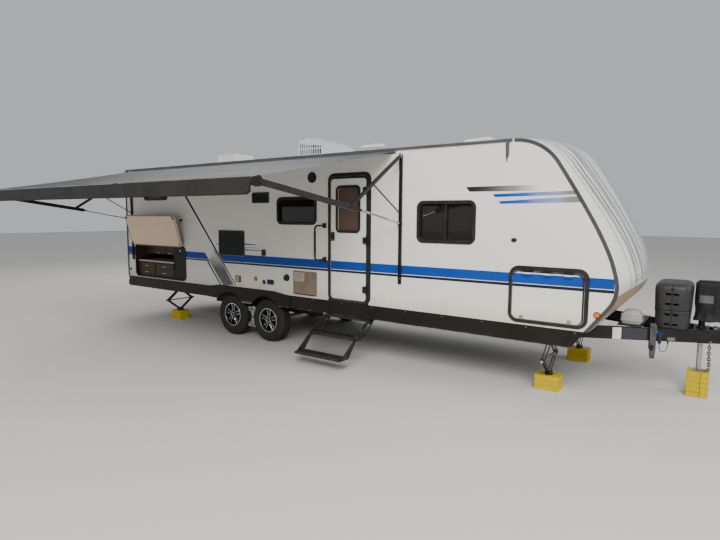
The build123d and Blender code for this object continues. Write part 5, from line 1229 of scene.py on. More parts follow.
hatch_lining = finish_of("hatch_lining", hatch_beige, (0.84, 0.62, 0.44), 0.5, 0.33, 0.004, 0.0001)
paint(hatch_lining, "kitchen_door")


def lay_open(form):
    """Turns what was shaped on the shut hatch to where the hatch stands open."""
    to_zero, from_zero = Matrix.Translation(-hatch_hinge), Matrix.Translation(hatch_hinge)
    turn = from_zero @ Matrix.Rotation(-hatch_open, 4, "X") @ to_zero
    bmesh.ops.transform(form, matrix=turn, verts=form.verts)
    return form


x0, x1 = kitchen_x
z0, z1 = kitchen_z
edge = bmesh.new()
hatch_outline = inset_outline((*kitchen_x, *kitchen_z), 0.008, 0.072)
hatch_inline = inset_outline((*kitchen_x, *kitchen_z), 0.020, 0.060)
add_ring(edge, hatch_outline, hatch_inline, hatch_inner_y - 0.001, hatch_inner_y + 0.002)
make_piece("hatch_edge", lay_open(edge), black_trim, "kitchen_door")
outer_skin = bmesh.new()
add_plate(outer_skin, hatch_outline, *hatch_skin_y)
make_piece("hatch_outer_skin", lay_open(outer_skin), wall_sheet, "kitchen_door")
straps = bmesh.new()
for x in hatch_strap_x:
    rear, front = x - 0.0455, x + 0.0455
    add_block(straps, (rear, -1.2468, 0.7434), (front, -1.2415, 0.8045))
    add_block(straps, (rear, -1.2468, 0.7434), (front, hatch_skin_y[0] + 0.0004, 0.7726))
    add_rod(straps, (rear, *hatch_hinge.yz), (front, *hatch_hinge.yz), hatch_pin)
make_piece("hatch_straps", lay_open(straps), wall_sheet, "kitchen_door")
for colour in ("blue", "navy"):
    band = bmesh.new()
    add_stripes(band, colour, hatch_skin_y[0] - vinyl_lift, ((x0 + 0.010, x1 - 0.010, 0.89, 1.49),))
    stripe = make_piece(f"stripes_kitchen_door_right_{colour}", lay_open(band), vinyls[colour],
                        "kitchen_door")
    outward = Matrix.Rotation(-hatch_open, 3, "X") @ Vector((0, -1, 0))
    if stripe.data.polygons[0].normal.dot(outward) < 0:
        stripe.data.flip_normals()
turners = bmesh.new()
for x in (x0 + 0.055, x1 - 0.055):
    add_block(turners, (x - 0.016, hatch_inner_y, 0.235), (x + 0.016, hatch_catch_y, 0.255))
    add_block(turners, (x - 0.006, hatch_inner_y + 0.003, 0.203), (x + 0.006, hatch_catch_y - 0.001, 0.239))
    add_block(turners, (x - 0.021, hatch_inner_y, 0.229), (x + 0.021, hatch_inner_y + 0.003, 0.261))
    add_block(turners, (x - 0.014, hatch_inner_y, 0.726), (x + 0.014, hatch_catch_y, 0.748))
make_piece("hatch_catches", lay_open(turners), fitting_black, "kitchen_door", bevel=0.002)


# Galley cabinet. Dark wood-print board with framed cupboard doors above, a pale worktop with a metal
# edge, brown drawers below it and a small fridge at the front end with a white control knob.
cabinet_face = -1.180
cupboards = ((-9.767, -9.410), (-9.392, -9.034))
cupboard_z = (1.322 + ground, 1.478 + ground)
drawers = ((-10.048, -9.508), (-9.472, -8.905))
drawer_z = ((0.900 + ground, 1.012 + ground), (1.024 + ground, 1.140 + ground))
fridge_x = (-8.880, -8.482)
# Columns: bottom, top, corner radius, how far the front is set in.
fridge_fronts = ((0.902 + ground, 1.372 + ground, 0.012, -0.001),
                 (1.378 + ground, 1.480 + ground, 0.008, 0.002))
worktop_z = (1.165 + ground, 1.189 + ground)
knob_place = (-8.670, 1.425 + ground)

cupboard_wood = finish_of("cupboard_wood", (0.055, 0.032, 0.020), (0.095, 0.058, 0.036),
                          0.035, 0.38, 0.003, 0.0002, stretch=(0.12, 1, 1.6))
paint(cupboard_wood, "kitchen_cabinet")
drawer_wood = finish_of("drawer_wood", (0.045, 0.025, 0.014), (0.072, 0.041, 0.024),
                        0.03, 0.40, 0.003, 0.0002, stretch=(0.10, 1, 1.8))
fridge_dark = finish_of("fridge_dark", (0.006, 0.0055, 0.005), (0.011, 0.010, 0.009),
                        0.2, 0.32, 0.002, 0.00005)
worktop_pale = finish_of("worktop_pale", (0.58, 0.55, 0.49), (0.46, 0.43, 0.38),
                         0.010, 0.35, 0.001, 0.00005)
cupboard_doors = bmesh.new()
pulls = bmesh.new()
back = cabinet_face + 0.180
low_z, high_z = cupboard_z
for x0, x1 in cupboards:
    middle = (x0 + x1) / 2
    panel = (x0, x1, low_z, high_z)
    add_block(cupboard_doors, (x0, back - 0.016, low_z), (x1, back - 0.0004, high_z))
    add_ring(cupboard_doors, inset_outline(panel, 0, 0.004, 2), inset_outline(panel, 0.034, 0.003, 2),
             back - 0.022, back - 0.0155)
    add_block(pulls, (middle - 0.045, back - 0.040, low_z + 0.012),
              (middle + 0.045, back - 0.034, low_z + 0.021))
    for x in (middle - 0.040, middle + 0.040):
        add_block(pulls, (x - 0.004, back - 0.036, low_z + 0.013),
                  (x + 0.004, back - 0.0215, low_z + 0.020))
make_piece("cupboard_doors", cupboard_doors, cupboard_wood, "caravan", bevel=0.0012)
drawer_fronts = bmesh.new()
front = cabinet_face + 0.010
for x0, x1 in drawers:
    middle = (x0 + x1) / 2
    for low_z, high_z in drawer_z:
        z = (low_z + high_z) / 2
        outer = rounded_outline(x0, x1, low_z, high_z, 0.003, 2)
        inner = rounded_outline(x0 + 0.020, x1 - 0.020, low_z + 0.018, high_z - 0.018, 0.003, 2)
        add_block(drawer_fronts, (x0, front - 0.008, low_z), (x1, front - 0.0004, high_z))
        add_ring(drawer_fronts, outer, inner, front - 0.010, front - 0.0075)
        add_block(pulls, (middle - 0.055, front - 0.0185, z - 0.005),
                  (middle + 0.055, front - 0.0135, z + 0.005))
        for x in (middle - 0.050, middle + 0.050):
            add_block(pulls, (x - 0.004, front - 0.0145, z - 0.004), (x + 0.004, front - 0.0075, z + 0.004))
make_piece("drawer_fronts", drawer_fronts, drawer_wood, "caravan", bevel=0.0012)
make_piece("galley_pulls", pulls, bright_metal, "caravan", bevel=0.0015)
worktop = bmesh.new()
add_block(worktop, (kitchen_x[0] + 0.020, front - 0.006, worktop_z[0] - 0.001),
          (fridge_x[0] - 0.008, front + 0.500, worktop_z[1] + 0.0015))
make_piece("worktop_skin", worktop, worktop_pale, "caravan", bevel=0.002)
x0, x1 = fridge_x[0] + 0.004, fridge_x[1] - 0.010
fridge = bmesh.new()
for z0, z1, radius, inset in fridge_fronts:
    add_plate(fridge, rounded_outline(x0, x1, z0, z1, radius), cabinet_face + inset, cabinet_face + 0.0130)
add_block(fridge, (x0 + 0.012, cabinet_face - 0.0085, 1.05 + ground),
          (x0 + 0.026, cabinet_face - 0.0008, 1.24 + ground))
make_piece("fridge_door", fridge, fridge_dark, "caravan", bevel=0.002)
liner = bmesh.new()
opening = (*kitchen_x, *kitchen_z)
add_ring(liner, inset_outline(opening, 0, 0.080), inset_outline(opening, 0.0025, 0.0775), -1.2190,
         cabinet_face - 0.0008)
make_piece("galley_liner", liner, black_trim, "caravan")
knob = bmesh.new()
x, z = knob_place
add_rod(knob, (x, cabinet_face + 0.003, z), (x, cabinet_face - 0.006, z), 0.021, 32, 0.018)
add_block(knob, (x - 0.003, cabinet_face - 0.0085, z - 0.017), (x + 0.003, cabinet_face - 0.005, z + 0.017))
knob_white = finish_of("knob_white", (0.78, 0.77, 0.74), (0.70, 0.69, 0.66), 0.02, 0.35, 0.001, 0.0001)
make_piece("fridge_knob", knob, knob_white, "caravan", smooth=35)


# Awning hardware. Extruded aluminium arms in dark coating: a channel on the wall, a two-part arm, a
# rafter and a brace at each end, and a roller with a lobed end cap that the fabric winds onto.
awning_x = (-10.160, -3.800)
roller_end = (-3.825, 2.425 + ground)
arm_foot = (-1.234, 2.005 + ground)
arm_joint = (-2.200, 2.182 + ground)
rafter_top = (-1.246, 2.905 + ground)
rod_radius = 0.0142
pin_half = Vector((0.031, 0, 0))
channel_screws = (1.260, 1.620, 2.380, 2.840)

awning_coat = finish_of("awning_coat", (0.009, 0.009, 0.010), (0.017, 0.016, 0.017),
                        0.2, 0.40, 0.002, 0.0001)
paint(awning_coat, "awning_arms", "awning_roller")
polished_rod = finish_of("polished_rod", (0.58, 0.59, 0.61), (0.46, 0.47, 0.49),
                         0.04, 0.25, 0.001, 0.00005, metal=1.0)
# Columns: the bar's two ends (y, z), its width along the wall and its depth.
outer_channels = (
    (arm_joint, (-3.770, 2.417 + ground), 0.046, 0.058),
    ((-1.290, 2.877 + ground), (-2.340, 2.226 + ground), 0.036, 0.040),
)


def close_ends(form, loops):
    """Flat faces over the first and the last of the loops."""
    form.faces.new(loops[0][::-1])
    form.faces.new(loops[-1])


def add_bar(form, x, start, end, width, depth):
    """A bar of rectangular section between two points of the plane across the wall at x."""
    first, last = Vector((x, *start)), Vector((x, *end))
    along = (last - first).normalized()
    aside, above = Vector((width / 2, 0, 0)), along.cross(Vector((1, 0, 0))) * depth / 2
    corners = ((-1, -1), (1, -1), (1, 1), (-1, 1))
    loops = []
    for place in (first, last):
        loops.append([form.verts.new(place + a * aside + b * above) for a, b in corners])
    close_ends(form, loops)
    join_loops(form, loops)


channels = bmesh.new()
for x in awning_x:
    for start, end, width, depth in outer_channels:
        add_bar(channels, x, start, end, width, depth)
make_piece("awning_arm_channels", channels, awning_coat, "caravan", bevel=0.003)
arm_details = bmesh.new()
bright_details = bmesh.new()
foot, joint = Vector((0, *arm_foot)), Vector((0, *arm_joint))
for x, end in zip(awning_x, (-1, 1)):
    y, z = roller_end
    near = x + end * 0.022
    for lobe_y, lobe_z in round_outline(y, z, 0.036, 8):
        add_rod(arm_details, (near, lobe_y, lobe_z), (x + end * 0.033, lobe_y, lobe_z), 0.015, 14, 0.011)
    add_rod(arm_details, (near, y, z), (x + end * 0.040, y, z), 0.024, 24, 0.018)
    here = Vector((x, 0, 0))
    add_rod(bright_details, here + foot.lerp(joint, 0.04), here + foot.lerp(joint, 0.94), rod_radius, 20)
    for pivot, size in ((foot, 0.012), (joint, 0.0105)):
        add_rod(arm_details, here + pivot - pin_half, here + pivot + pin_half, size, 14)
    for height in channel_screws:
        z = height + ground
        add_rod(bright_details, (x, -wall_face_y - 0.006, z), (x, -wall_face_y - 0.0115, z),
                0.0070, 14, 0.0050)
    y, z = rafter_top
    add_block(bright_details, (x - 0.018, y - 0.020, z - 0.030), (x + 0.018, y + 0.020, z + 0.026))
make_piece("awning_arm_details", arm_details, awning_coat, "caravan", smooth=35)
make_piece("awning_bright_rods", bright_details, polished_rod, "caravan", smooth=35)


# Awning fabric. Coated vinyl in one sheet, its bead held in the wall rail and its far edge rolled,
# drawn tight between them with a shallow belly: charcoal above with pale streaks, blue-grey below.
fabric_x = (-10.130, -3.832)
fabric_inner = (-1.252, 2.2590)
fabric_outer = (-3.833, 1.7730)
fabric_belly = 0.022
cloth_thick = 0.0012
fabric_bays = (96, 36)

awning_vinyl = finish_of("awning_vinyl", (0.115, 0.165, 0.200), (0.245, 0.335, 0.390),
                         0.8, 0.58, 0.0022, 0.0002, stretch=(0.35, 2.6, 1))
under_tone = tone_of(awning_vinyl)
over_tone = two_tones(awning_vinyl, cloudy(awning_vinyl, 0.7, (0.5, 2.0, 1)), (0.060, 0.064, 0.070),
                      (0.16, 0.165, 0.17))
faces_out = awning_vinyl.node_tree.nodes.new("ShaderNodeNewGeometry").outputs["True Normal"]
faces_up = add_node(awning_vinyl, "ShaderNodeSeparateXYZ", Vector=faces_out).outputs["Z"]
upper_share = spread(awning_vinyl, faces_up, -0.1, 0.1, 0.0, 1.0)
recolour(awning_vinyl, two_tones(awning_vinyl, upper_share, under_tone, over_tone))
shader_of(awning_vinyl).inputs["Specular IOR Level"].default_value = 0.04


def add_sheet(form, place, across, along, through):
    """A thin cloth of two faces and its edges. place gives the point at shares across and along it."""
    layers = []
    for offset in (Vector(), Vector(through)):
        rows = []
        for i in range(across + 1):
            line = [Vector(place(i / across, j / along)) + offset for j in range(along + 1)]
            rows.append([form.verts.new(point) for point in line])
        layers.append(rows)
    upper, lower = layers
    for i in range(across):
        for j in range(along):
            form.faces.new((upper[i][j], upper[i + 1][j], upper[i + 1][j + 1], upper[i][j + 1]))
            form.faces.new((lower[i][j], lower[i][j + 1], lower[i + 1][j + 1], lower[i + 1][j]))
    for i in range(across):
        for j in (0, along):
            form.faces.new((upper[i][j], upper[i + 1][j], lower[i + 1][j], lower[i][j]))
    for j in range(along):
        for i in (0, across):
            form.faces.new((upper[i][j], upper[i][j + 1], lower[i][j + 1], lower[i][j]))


def fabric_point(across, out):
    """The belly is deepest in the middle, and the sheet is drawn up a little at the two arms."""
    x = fabric_x[0] + (fabric_x[1] - fabric_x[0]) * across - 0.080 * across * (1 - out)
    y = fabric_inner[0] + (fabric_outer[0] - fabric_inner[0]) * out
    z = fabric_inner[1] + (fabric_outer[1] - fabric_inner[1]) * out
    sag = fabric_belly * sin(pi * out) * (0.55 + 0.45 * sin(pi * across))
    ripple = 0.0022 * sin(17 * across + 2.3 * out) * sin(pi * out) + 0.0012 * sin(41 * across - 4 * out) * out
    return x, y, z - sag + ripple


canopy = bmesh.new()
add_sheet(canopy, fabric_point, *fabric_bays, (0, 0, -cloth_thick))
canopy = make_piece("awning_canopy", canopy, awning_vinyl, "caravan", smooth=50)
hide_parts("awning_fabric")


# Valance. The same vinyl in charcoal, hung free along the roller with rounded corners, a bound
# lower edge and soft waves that grow towards the hem.
valance_drop = 0.165
valance_line = (-3.870, 1.7645)
valance_bays = (220, 10)
binding_half = (0.0016, 0.006)

valance_vinyl = finish_of("valance_vinyl", (0.018, 0.017, 0.015), (0.030, 0.028, 0.025),
                          0.3, 0.55, 0.0022, 0.0002)


def valance_point(across, down):
    """Waves in y, and both lower corners rounded up."""
    x = fabric_x[0] + (fabric_x[1] - fabric_x[0]) * across
    from_end = min(x - fabric_x[0], fabric_x[1] - x)
    corner = 0.080
    short = corner - (corner ** 2 - max(0.0, corner - from_end) ** 2) ** 0.5 if from_end < corner else 0.0
    z = valance_line[1] - down * (valance_drop - short)
    wave = 0.0045 * sin(5.1 * x) + 0.0025 * sin(12.7 * x + 1.0)
    return x, valance_line[0] - 0.0045 + wave * down, z


valance = bmesh.new()
add_sheet(valance, valance_point, *valance_bays, (0, cloth_thick, 0))
binding = bmesh.new()
hem = [Vector(valance_point(i / valance_bays[0], 1.0)) + Vector((0, cloth_thick / 2, 0.004))
       for i in range(valance_bays[0] + 1)]
for near, far in zip(hem, hem[1:]):
    low = (near.x, min(near.y, far.y) - binding_half[0], min(near.z, far.z) - binding_half[1])
    high = (far.x, max(near.y, far.y) + binding_half[0], max(near.z, far.z) + binding_half[1])
    add_block(binding, low, high)
binding = make_piece("valance_binding", binding, awning_coat, "caravan")
valance = make_piece("awning_skirt", valance, valance_vinyl, "caravan", smooth=50)
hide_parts("awning_valance")


# Air conditioner. A pale blue-grey moulded shroud over the machine, screwed down on a foam gasket,
# with two rows of six louvres at the rear of each side.
ac_x = (-6.430, -5.630)
ac_half = 0.330
louvre_step = 0.050
ac_low, ac_top = 2.3783, 2.720

shroud_plastic = finish_of("shroud_plastic", (0.56, 0.62, 0.68), (0.50, 0.56, 0.62),
                           0.35, 0.34, 0.004, 0.0002)
paint(shroud_plastic, "air_conditioner")
louvre_shade = finish_of("louvre_shade", (0.020, 0.023, 0.027), (0.032, 0.036, 0.042),
                        0.05, 0.6, 0.002, 0.0001)
# A dark plate sits a little inside each open louvre: painted shade inside the shroud.
louvre_shade_plates = bmesh.new()
lips = bmesh.new()
for side in (-1, 1):
    for row in range(2):
        for column in range(6):
            x = ac_x[0] + 0.034 + column * louvre_step
            z = ac_low + 0.075 + row * 0.105
            height = 0.084 - row * column * 0.008
            y_in, y_out = sorted((side * (ac_half - 0.0175), side * (ac_half - 0.0150)))
            add_block(louvre_shade_plates, (x + 0.001, y_in, z + 0.001), (x + 0.031, y_out, z + height - 0.001))
            mouth = (x, x + 0.032, z, z + height)
            add_ring(lips, inset_outline(mouth, -0.004, 0.009), inset_outline(mouth, 0, 0.006),
                     side * (ac_half - 0.001), side * (ac_half + 0.003))
    for x in (ac_x[0] + 0.06, (ac_x[0] + ac_x[1]) / 2, ac_x[1] - 0.04):
        screw, head = [(x, side * (ac_half + out), ac_low + 0.030) for out in (-0.001, 0.005)]
        add_rod(lips, screw, head, 0.011, 16, 0.008)
# Four more columns of flat dark plates follow the shroud's slope forward of the open ones: painted shade
# standing for slots.
for side in (-1, 1):
    y_in, y_out = sorted((side * (ac_half - 0.001), side * (ac_half + 0.0008)))
    for column in range(6, 10):
        for row in range(2):
            x = ac_x[0] + 0.034 + column * louvre_step
            z = ac_low + 0.075 + row * 0.100
            height = 0.080 - row * (column - 3) * 0.008
            add_plate(louvre_shade_plates, rounded_outline(x, x + 0.032, z, z + height, 0.006), y_in, y_out)
for share in (0.25, 0.5, 0.75):
    y = -ac_half + 2 * ac_half * share
    add_block(lips, (ac_x[0] + 0.20, y - 0.010, ac_top - 0.012),
              (ac_x[1] - 0.46, y + 0.010, ac_top + 0.0015))
make_piece("conditioner_louvre_shade", louvre_shade_plates, louvre_shade, "caravan")
make_piece("conditioner_lips", lips, shroud_plastic, "caravan", bevel=0.0012)


# Roof vents, aerial and sealant. White plastic hoods over the hatches, short pipe caps, a cream
# winged aerial on its mast, and self-levelling sealant spread in a rough collar round each.
# Columns: rear x, front x, half width, height of the top above the ground.
vent_hoods = ((-8.690, -8.100, 0.250, 3.300), (-3.420, -2.900, 0.220, 3.210))
pipe_vents = ((-7.550, 0.420), (-9.300, 0.380))
aerial_x = -5.080
roof_edge, roof_top = 2.308, 2.378

hood_plastic = finish_of("hood_plastic", (0.72, 0.71, 0.67), (0.62, 0.60, 0.55), 0.18, 0.45, 0.003, 0.0002)
paint(hood_plastic, "roof_vents")
aerial_cream = finish_of("aerial_cream", (0.72, 0.70, 0.62), (0.64, 0.61, 0.52), 0.09, 0.36, 0.003, 0.0001)
paint(aerial_cream, "tv_aerial")
ribs = bmesh.new()
for x0, x1, half, top in vent_hoods:
    z = top + ground
    for share in (-0.66, -0.33, 0.0, 0.33, 0.66):
        add_block(ribs, (x0 + 0.10, half * share - 0.006, z - 0.020),
                  (x1 - 0.12, half * share + 0.006, z - 0.0055))
    for side in (-1, 1):
        for x in (x0 + 0.09, (x0 + x1) / 2, x1 - 0.09):
            screw, head = [(x, side * (half + out), roof_top + 0.020) for out in (-0.002, 0.005)]
            add_rod(ribs, screw, head, 0.008, 12, 0.006)
for x, y in pipe_vents:
    for rib_x, rib_y in round_outline(x, y, 0.0555, 14):
        add_block(ribs, (rib_x - 0.003, rib_y - 0.003, roof_top - 0.004),
                  (rib_x + 0.003, rib_y + 0.003, roof_top + 0.040))
    add_rod(ribs, (x, y, roof_top + 0.046), (x, y, roof_top + 0.056), 0.062, 32, 0.050)
make_piece("hood_ribs", ribs, hood_plastic, "caravan", smooth=35)


def add_collar(form, outline, height):
    """A low rough bead of sealant along a closed line on the roof."""
    rows = []
    count = len(outline)
    profile = ((-1.0, -0.004), (-0.6, height * 0.7), (0.0, height), (0.6, height * 0.7), (1.0, -0.004))
    for at, (x, y) in enumerate(outline):
        before, after = outline[at - 1], outline[(at + 1) % count]
        along = Vector((after[0] - before[0], after[1] - before[1], 0)).normalized()
        out = Vector((along.y, -along.x, 0))
        wide = 0.026 + 0.007 * sin(5.3 * at) + 0.004 * sin(11.7 * at)
        crown = 1 - (y / wall_face_y) ** 2
        base = roof_edge + (roof_top - roof_edge) * crown
        row = []
        for share, lift in profile:
            place = Vector((x, y, base + lift)) + out * (wide * share)
            row.append(form.verts.new(place))
        rows.append(row)
    for first, second in zip(rows, rows[1:] + rows[:1]):
        for part in range(4):
            form.faces.new((first[part], first[part + 1], second[part + 1], second[part]))
        form.faces.new((first[4], first[0], second[0], second[4]))


collars = bmesh.new()
for x0, x1, half in [hood[:3] for hood in vent_hoods] + [(ac_x[0] + 0.05, ac_x[1] - 0.02, 0.20)]:
    add_collar(collars, inset_outline((x0, x1, -half, half), -0.03, 0.05, 5), 0.0045)
for x, y, radius in [(x, y, 0.075) for x, y in pipe_vents] + [(aerial_x, 0.0, 0.085)]:
    add_collar(collars, round_outline(x, y, radius, 22), 0.004)
make_piece("roof_sealant", collars, sealant, "caravan", smooth=60)


# Coupler. A pressed steel shell over the drawbar's tip, bolted through, with a lever on its top
# and a pin through the lever's ears.
drawbar_angle = radians(24.1)
coupler_bolts = ((-0.110, 0.036), (-0.180, 0.060), (-0.250, 0.084))

paint(frame_paint, "coupler")
coupler_bits = bmesh.new()
for x, y in coupler_bolts:
    for side in (-1, 1):
        add_rod(coupler_bits, (x, side * y, 0.127), (x, side * y, 0.139), 0.013, 6)
        add_rod(coupler_bits, (x, side * y, 0.138), (x, side * y, 0.146), 0.0075, 14, 0.0060)
add_rod(coupler_bits, (-0.030, -0.024, 0.150), (-0.030, 0.024, 0.150), 0.0050, 12)
make_piece("coupler_bolts", coupler_bits, cast_aluminium, "caravan", smooth=35)
for side in (-1, 1):
    y = side * 0.0145
    ear = bmesh.new()
    add_block(ear, (-0.058, y - 0.0015, 0.118), (0.004, y + 0.0015, 0.172))
    side_name = "left" if side > 0 else "right"
    make_piece(f"coupler_ear_{side_name}", ear, frame_paint, "caravan", bevel=0.001)


# Jack. A black tube with a gear head under the cloth cover, and a zinc plated leg whose foot
# stands on the yellow blocks.
jack_x = -0.390
jack_bolt_circle = 0.049

paint(frame_paint, "jack_housing")
zinc_plate = finish_of("zinc_plate", (0.50, 0.51, 0.53), (0.40, 0.41, 0.42),
                       0.03, 0.36, 0.002, 0.0001, metal=0.85)
paint(zinc_plate, "jack_leg")
jack_bolts = bmesh.new()
for turn in range(3):
    angle = 2 * pi * turn / 3 + 0.5
    bolt = (jack_x + jack_bolt_circle * cos(angle), jack_bolt_circle * sin(angle))
    add_rod(jack_bolts, (*bolt, 0.130), (*bolt, 0.139), 0.0085, 6)
make_piece("jack_bolts", jack_bolts, bright_metal, "caravan", smooth=35)


# Jack cover. A bag of black coated cloth pulled down over the jack's head, slack, with a bare grey
# patch sewn on the side towards the door and a hem that flares open at the bottom.
cover_middle = (-0.3280, 0.0)
cover_half = (0.1420, 0.1080)
cover_low, cover_high = 0.206, 0.6880
patch_x, patch_z = (-0.425, -0.290), (0.425, 0.515)
patch_grey = (0.090, 0.092, 0.095)
cover_rings, cover_turns = 44, 72

cover_cloth = finish_of("cover_cloth", (0.0055, 0.0055, 0.0065), (0.014, 0.014, 0.016),
                        0.06, 0.68, 0.0018, 0.0005)
cover_share = spread(cover_cloth, place_along(cover_cloth, "Y"), -0.061, -0.060, 1.0, 0.0)
for axis, (low, high) in (("X", patch_x), ("Z", patch_z)):
    place = place_along(cover_cloth, axis)
    past_low = spread(cover_cloth, place, low, low + 0.001, 0.0, 1.0)
    short_of_high = spread(cover_cloth, place, high - 0.001, high, 1.0, 0.0)
    inside = sum_of(cover_cloth, past_low, short_of_high, "MULTIPLY")
    cover_share = sum_of(cover_cloth, cover_share, inside, "MULTIPLY")
recolour(cover_cloth, two_tones(cover_cloth, cover_share, tone_of(cover_cloth), patch_grey))


def cover_point(turn, height, grow=0.0):
    """A slack bag: a rounded box with folds that deepen downwards, flared at the hem."""
    angle = 2 * pi * turn
    square = 4.2
    reach = (abs(cos(angle)) ** square + abs(sin(angle)) ** square) ** (-1 / square)
    shoulder = max(0.0, (height - 0.90) / 0.10)
    slack = 0.5 + 0.5 * min(1.0, (1 - height) * 1.6)
    folds = 0.0035 * sin(7 * angle + 5 * height) + 0.0028 * sin(13 * angle - 9 * height)
    folds += 0.0020 * sin(23 * angle + 3)
    flare = 0.007 * max(0.0, 1 - height / 0.16) ** 1.5
    pinch = -0.009 * max(0.0, sin(pi * min(1.0, height / 0.45))) ** 2
    round_off = 1 - 0.30 * shoulder ** 2.2
    slackened = folds * slack + flare + pinch + grow
    x = cover_middle[0] + cos(angle) * reach * (cover_half[0] * round_off + slackened)
    y = cover_middle[1] + sin(angle) * reach * (cover_half[1] * round_off + slackened)
    z = cover_low + (cover_high - cover_low) * height - 0.016 * shoulder ** 2
    if height == 0:
        z += 0.006 * sin(5 * angle) + 0.004
    return x, y, z


bag = bmesh.new()
skins = []
for grow, lower in ((0.0, 0.0), (-0.0016, 0.0016)):
    rings = []
    for ring in range(cover_rings + 1):
        loop = []
        for turn in range(cover_turns):
            x, y, z = cover_point(turn / cover_turns, ring / cover_rings, grow)
            loop.append(bag.verts.new((x, y, z - lower * (ring / cover_rings) ** 8)))
        rings.append(loop)
    brim = [vertex.co for vertex in rings[-1]]
    for inward in (0.66, 0.33):
        drawn_in = [(cover_middle[0] + (place.x - cover_middle[0]) * inward,
                     cover_middle[1] + (place.y - cover_middle[1]) * inward,
                     place.z + 0.010 * (1 - inward)) for place in brim]
        rings.append([bag.verts.new(place) for place in drawn_in])
    peak = bag.verts.new((*cover_middle, cover_high - lower - 0.004))
    join_loops(bag, rings)
    for at in range(cover_turns):
        bag.faces.new((rings[-1][at], rings[-1][(at + 1) % cover_turns], peak))
    skins.append(rings[0])
for at in range(cover_turns):
    after = (at + 1) % cover_turns
    bag.faces.new((skins[0][at], skins[1][at], skins[1][after], skins[0][after]))
cover_area = sum(face.calc_area() for face in bag.faces) / 2
cover_bag = make_piece("jack_bag", bag, cover_cloth, "caravan", smooth=70)
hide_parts("jack_cover")


# Gas bottle cover. Two halves moulded in charcoal plastic, pushed together at a lip halfway up, the
# upper one tapering to a rounded top, with slots for air in the faces towards both sides.
gas_middle_x = -0.6825
gas_half = (0.1875, 0.330)
gas_slots = ((0.170, 0.041), (0.285, 0.041), (0.410, 0.040), (0.525, 0.038))
slot_reach = (-0.40, 0.40)
gas_charcoal = (0.021, 0.0215, 0.023)

gas_plastic = finish_of("gas_plastic", gas_charcoal, (0.033, 0.033, 0.034), 0.12, 0.46, 0.0012, 0.00025)
slot_dark = finish_of("slot_dark", (0.004, 0.004, 0.004), (0.008, 0.008, 0.008), 0.03, 0.8, 0.002, 0.0001)
# Columns: height, share of the foot's size.
gas_rings = (
    (0.1265, 0.955), (0.1400, 0.960), (0.2200, 0.972), (0.3050, 0.984), (0.3080, 0.984), (0.3100, 1.006),
    (0.3280, 1.010), (0.3300, 1.006), (0.3315, 0.962), (0.3400, 0.962), (0.3425, 1.008), (0.4000, 1.018),
    (0.4800, 1.032), (0.5400, 1.042), (0.5760, 1.044), (0.6020, 1.030), (0.6210, 0.985), (0.6360, 0.910),
    (0.6450, 0.800), (0.6490, 0.620), (0.6500, 0.300),
)


def gas_loop(share, steps=80, square=4.6):
    """The cover's outline seen from above, at a share of its foot's size."""
    points = []
    inset = 1 - share
    for at in range(steps):
        angle = 2 * pi * (at + 0.5) / steps
        reach = (abs(cos(angle)) ** square + abs(sin(angle)) ** square) ** (-1 / square)
        half_x, half_y = gas_half[0] - inset * 0.19, gas_half[1] - inset * 0.25
        points.append((gas_middle_x + cos(angle) * reach * half_x * 0.985,
                       sin(angle) * reach * half_y * 0.985))
    return points


shell = bmesh.new()
loops = [[shell.verts.new((x, y, z)) for x, y in gas_loop(share)] for z, share in gas_rings]
join_loops(shell, loops)
close_ends(shell, loops)
gas_shell = make_piece("gas_cover_shell", shell, gas_plastic, "caravan", smooth=38)
slot_cutter = bmesh.new()
for z, spread_x in gas_slots:
    for hand in (-1, 1):
        x = gas_middle_x + hand * spread_x
        slot = rounded_outline(x - 0.031, x + 0.031, z - 0.012, z + 0.012, 0.0115, 4)
        add_plate(slot_cutter, slot, *slot_reach)
top_slot = rounded_outline(gas_middle_x - 0.020, gas_middle_x + 0.020, 0.5795, 0.5935, 0.0069, 4)
add_plate(slot_cutter, top_slot, *slot_reach)
cutter = make_piece("slot_cutter", slot_cutter, slot_dark, "caravan")
cut = gas_shell.modifiers.new("slots", "BOOLEAN")
cut.object = cutter
cut.solver = "EXACT"
cut_mesh = bpy.data.meshes.new_from_object(gas_shell.evaluated_get(bpy.context.evaluated_depsgraph_get()))
gas_shell.modifiers.clear()
gas_shell.data = cut_mesh
bpy.data.objects.remove(cutter)
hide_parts("gas_bottle_cover")
# Near-black bars up the middle of both slotted faces: painted shade in the valley between the cover's two
# lobes.
valley_shade = bmesh.new()
valley_shade_line = [(z, (gas_half[1] - (1 - share) * 0.25) * 0.985) for z, share in gas_rings if share > 0.90]
for side in (-1, 1):
    for (z0, y0), (z1, y1) in zip(valley_shade_line, valley_shade_line[1:]):
        add_bar(valley_shade, gas_middle_x, (side * y0, z0), (side * y1, z1), 0.0075, 0.0036)
make_piece("gas_cover_valley_shade", valley_shade, slot_dark, "caravan", bevel=0.0006)


# Battery box. Light grey moulded plastic: a narrow box on the rear tray under a deep lid whose
# shoulders slope in to a ridged top.
battery_middle = (-1.095, -0.205)

battery_grey = finish_of("battery_grey", (0.42, 0.43, 0.44), (0.32, 0.33, 0.34),
                         0.08, 0.52, 0.0015, 0.00025)
# Columns: height, half length and half width.
battery_rings = (
    (0.1268, 0.104, 0.086), (0.1530, 0.106, 0.088), (0.1530, 0.118, 0.098), (0.1600, 0.1205, 0.1005),
    (0.1660, 0.1205, 0.1005), (0.1690, 0.116, 0.096), (0.2250, 0.114, 0.094), (0.2300, 0.117, 0.097),
    (0.2370, 0.117, 0.097), (0.2400, 0.108, 0.090), (0.2620, 0.084, 0.076), (0.2650, 0.088, 0.079),
    (0.2700, 0.086, 0.078), (0.2860, 0.056, 0.058), (0.2900, 0.048, 0.052),
)
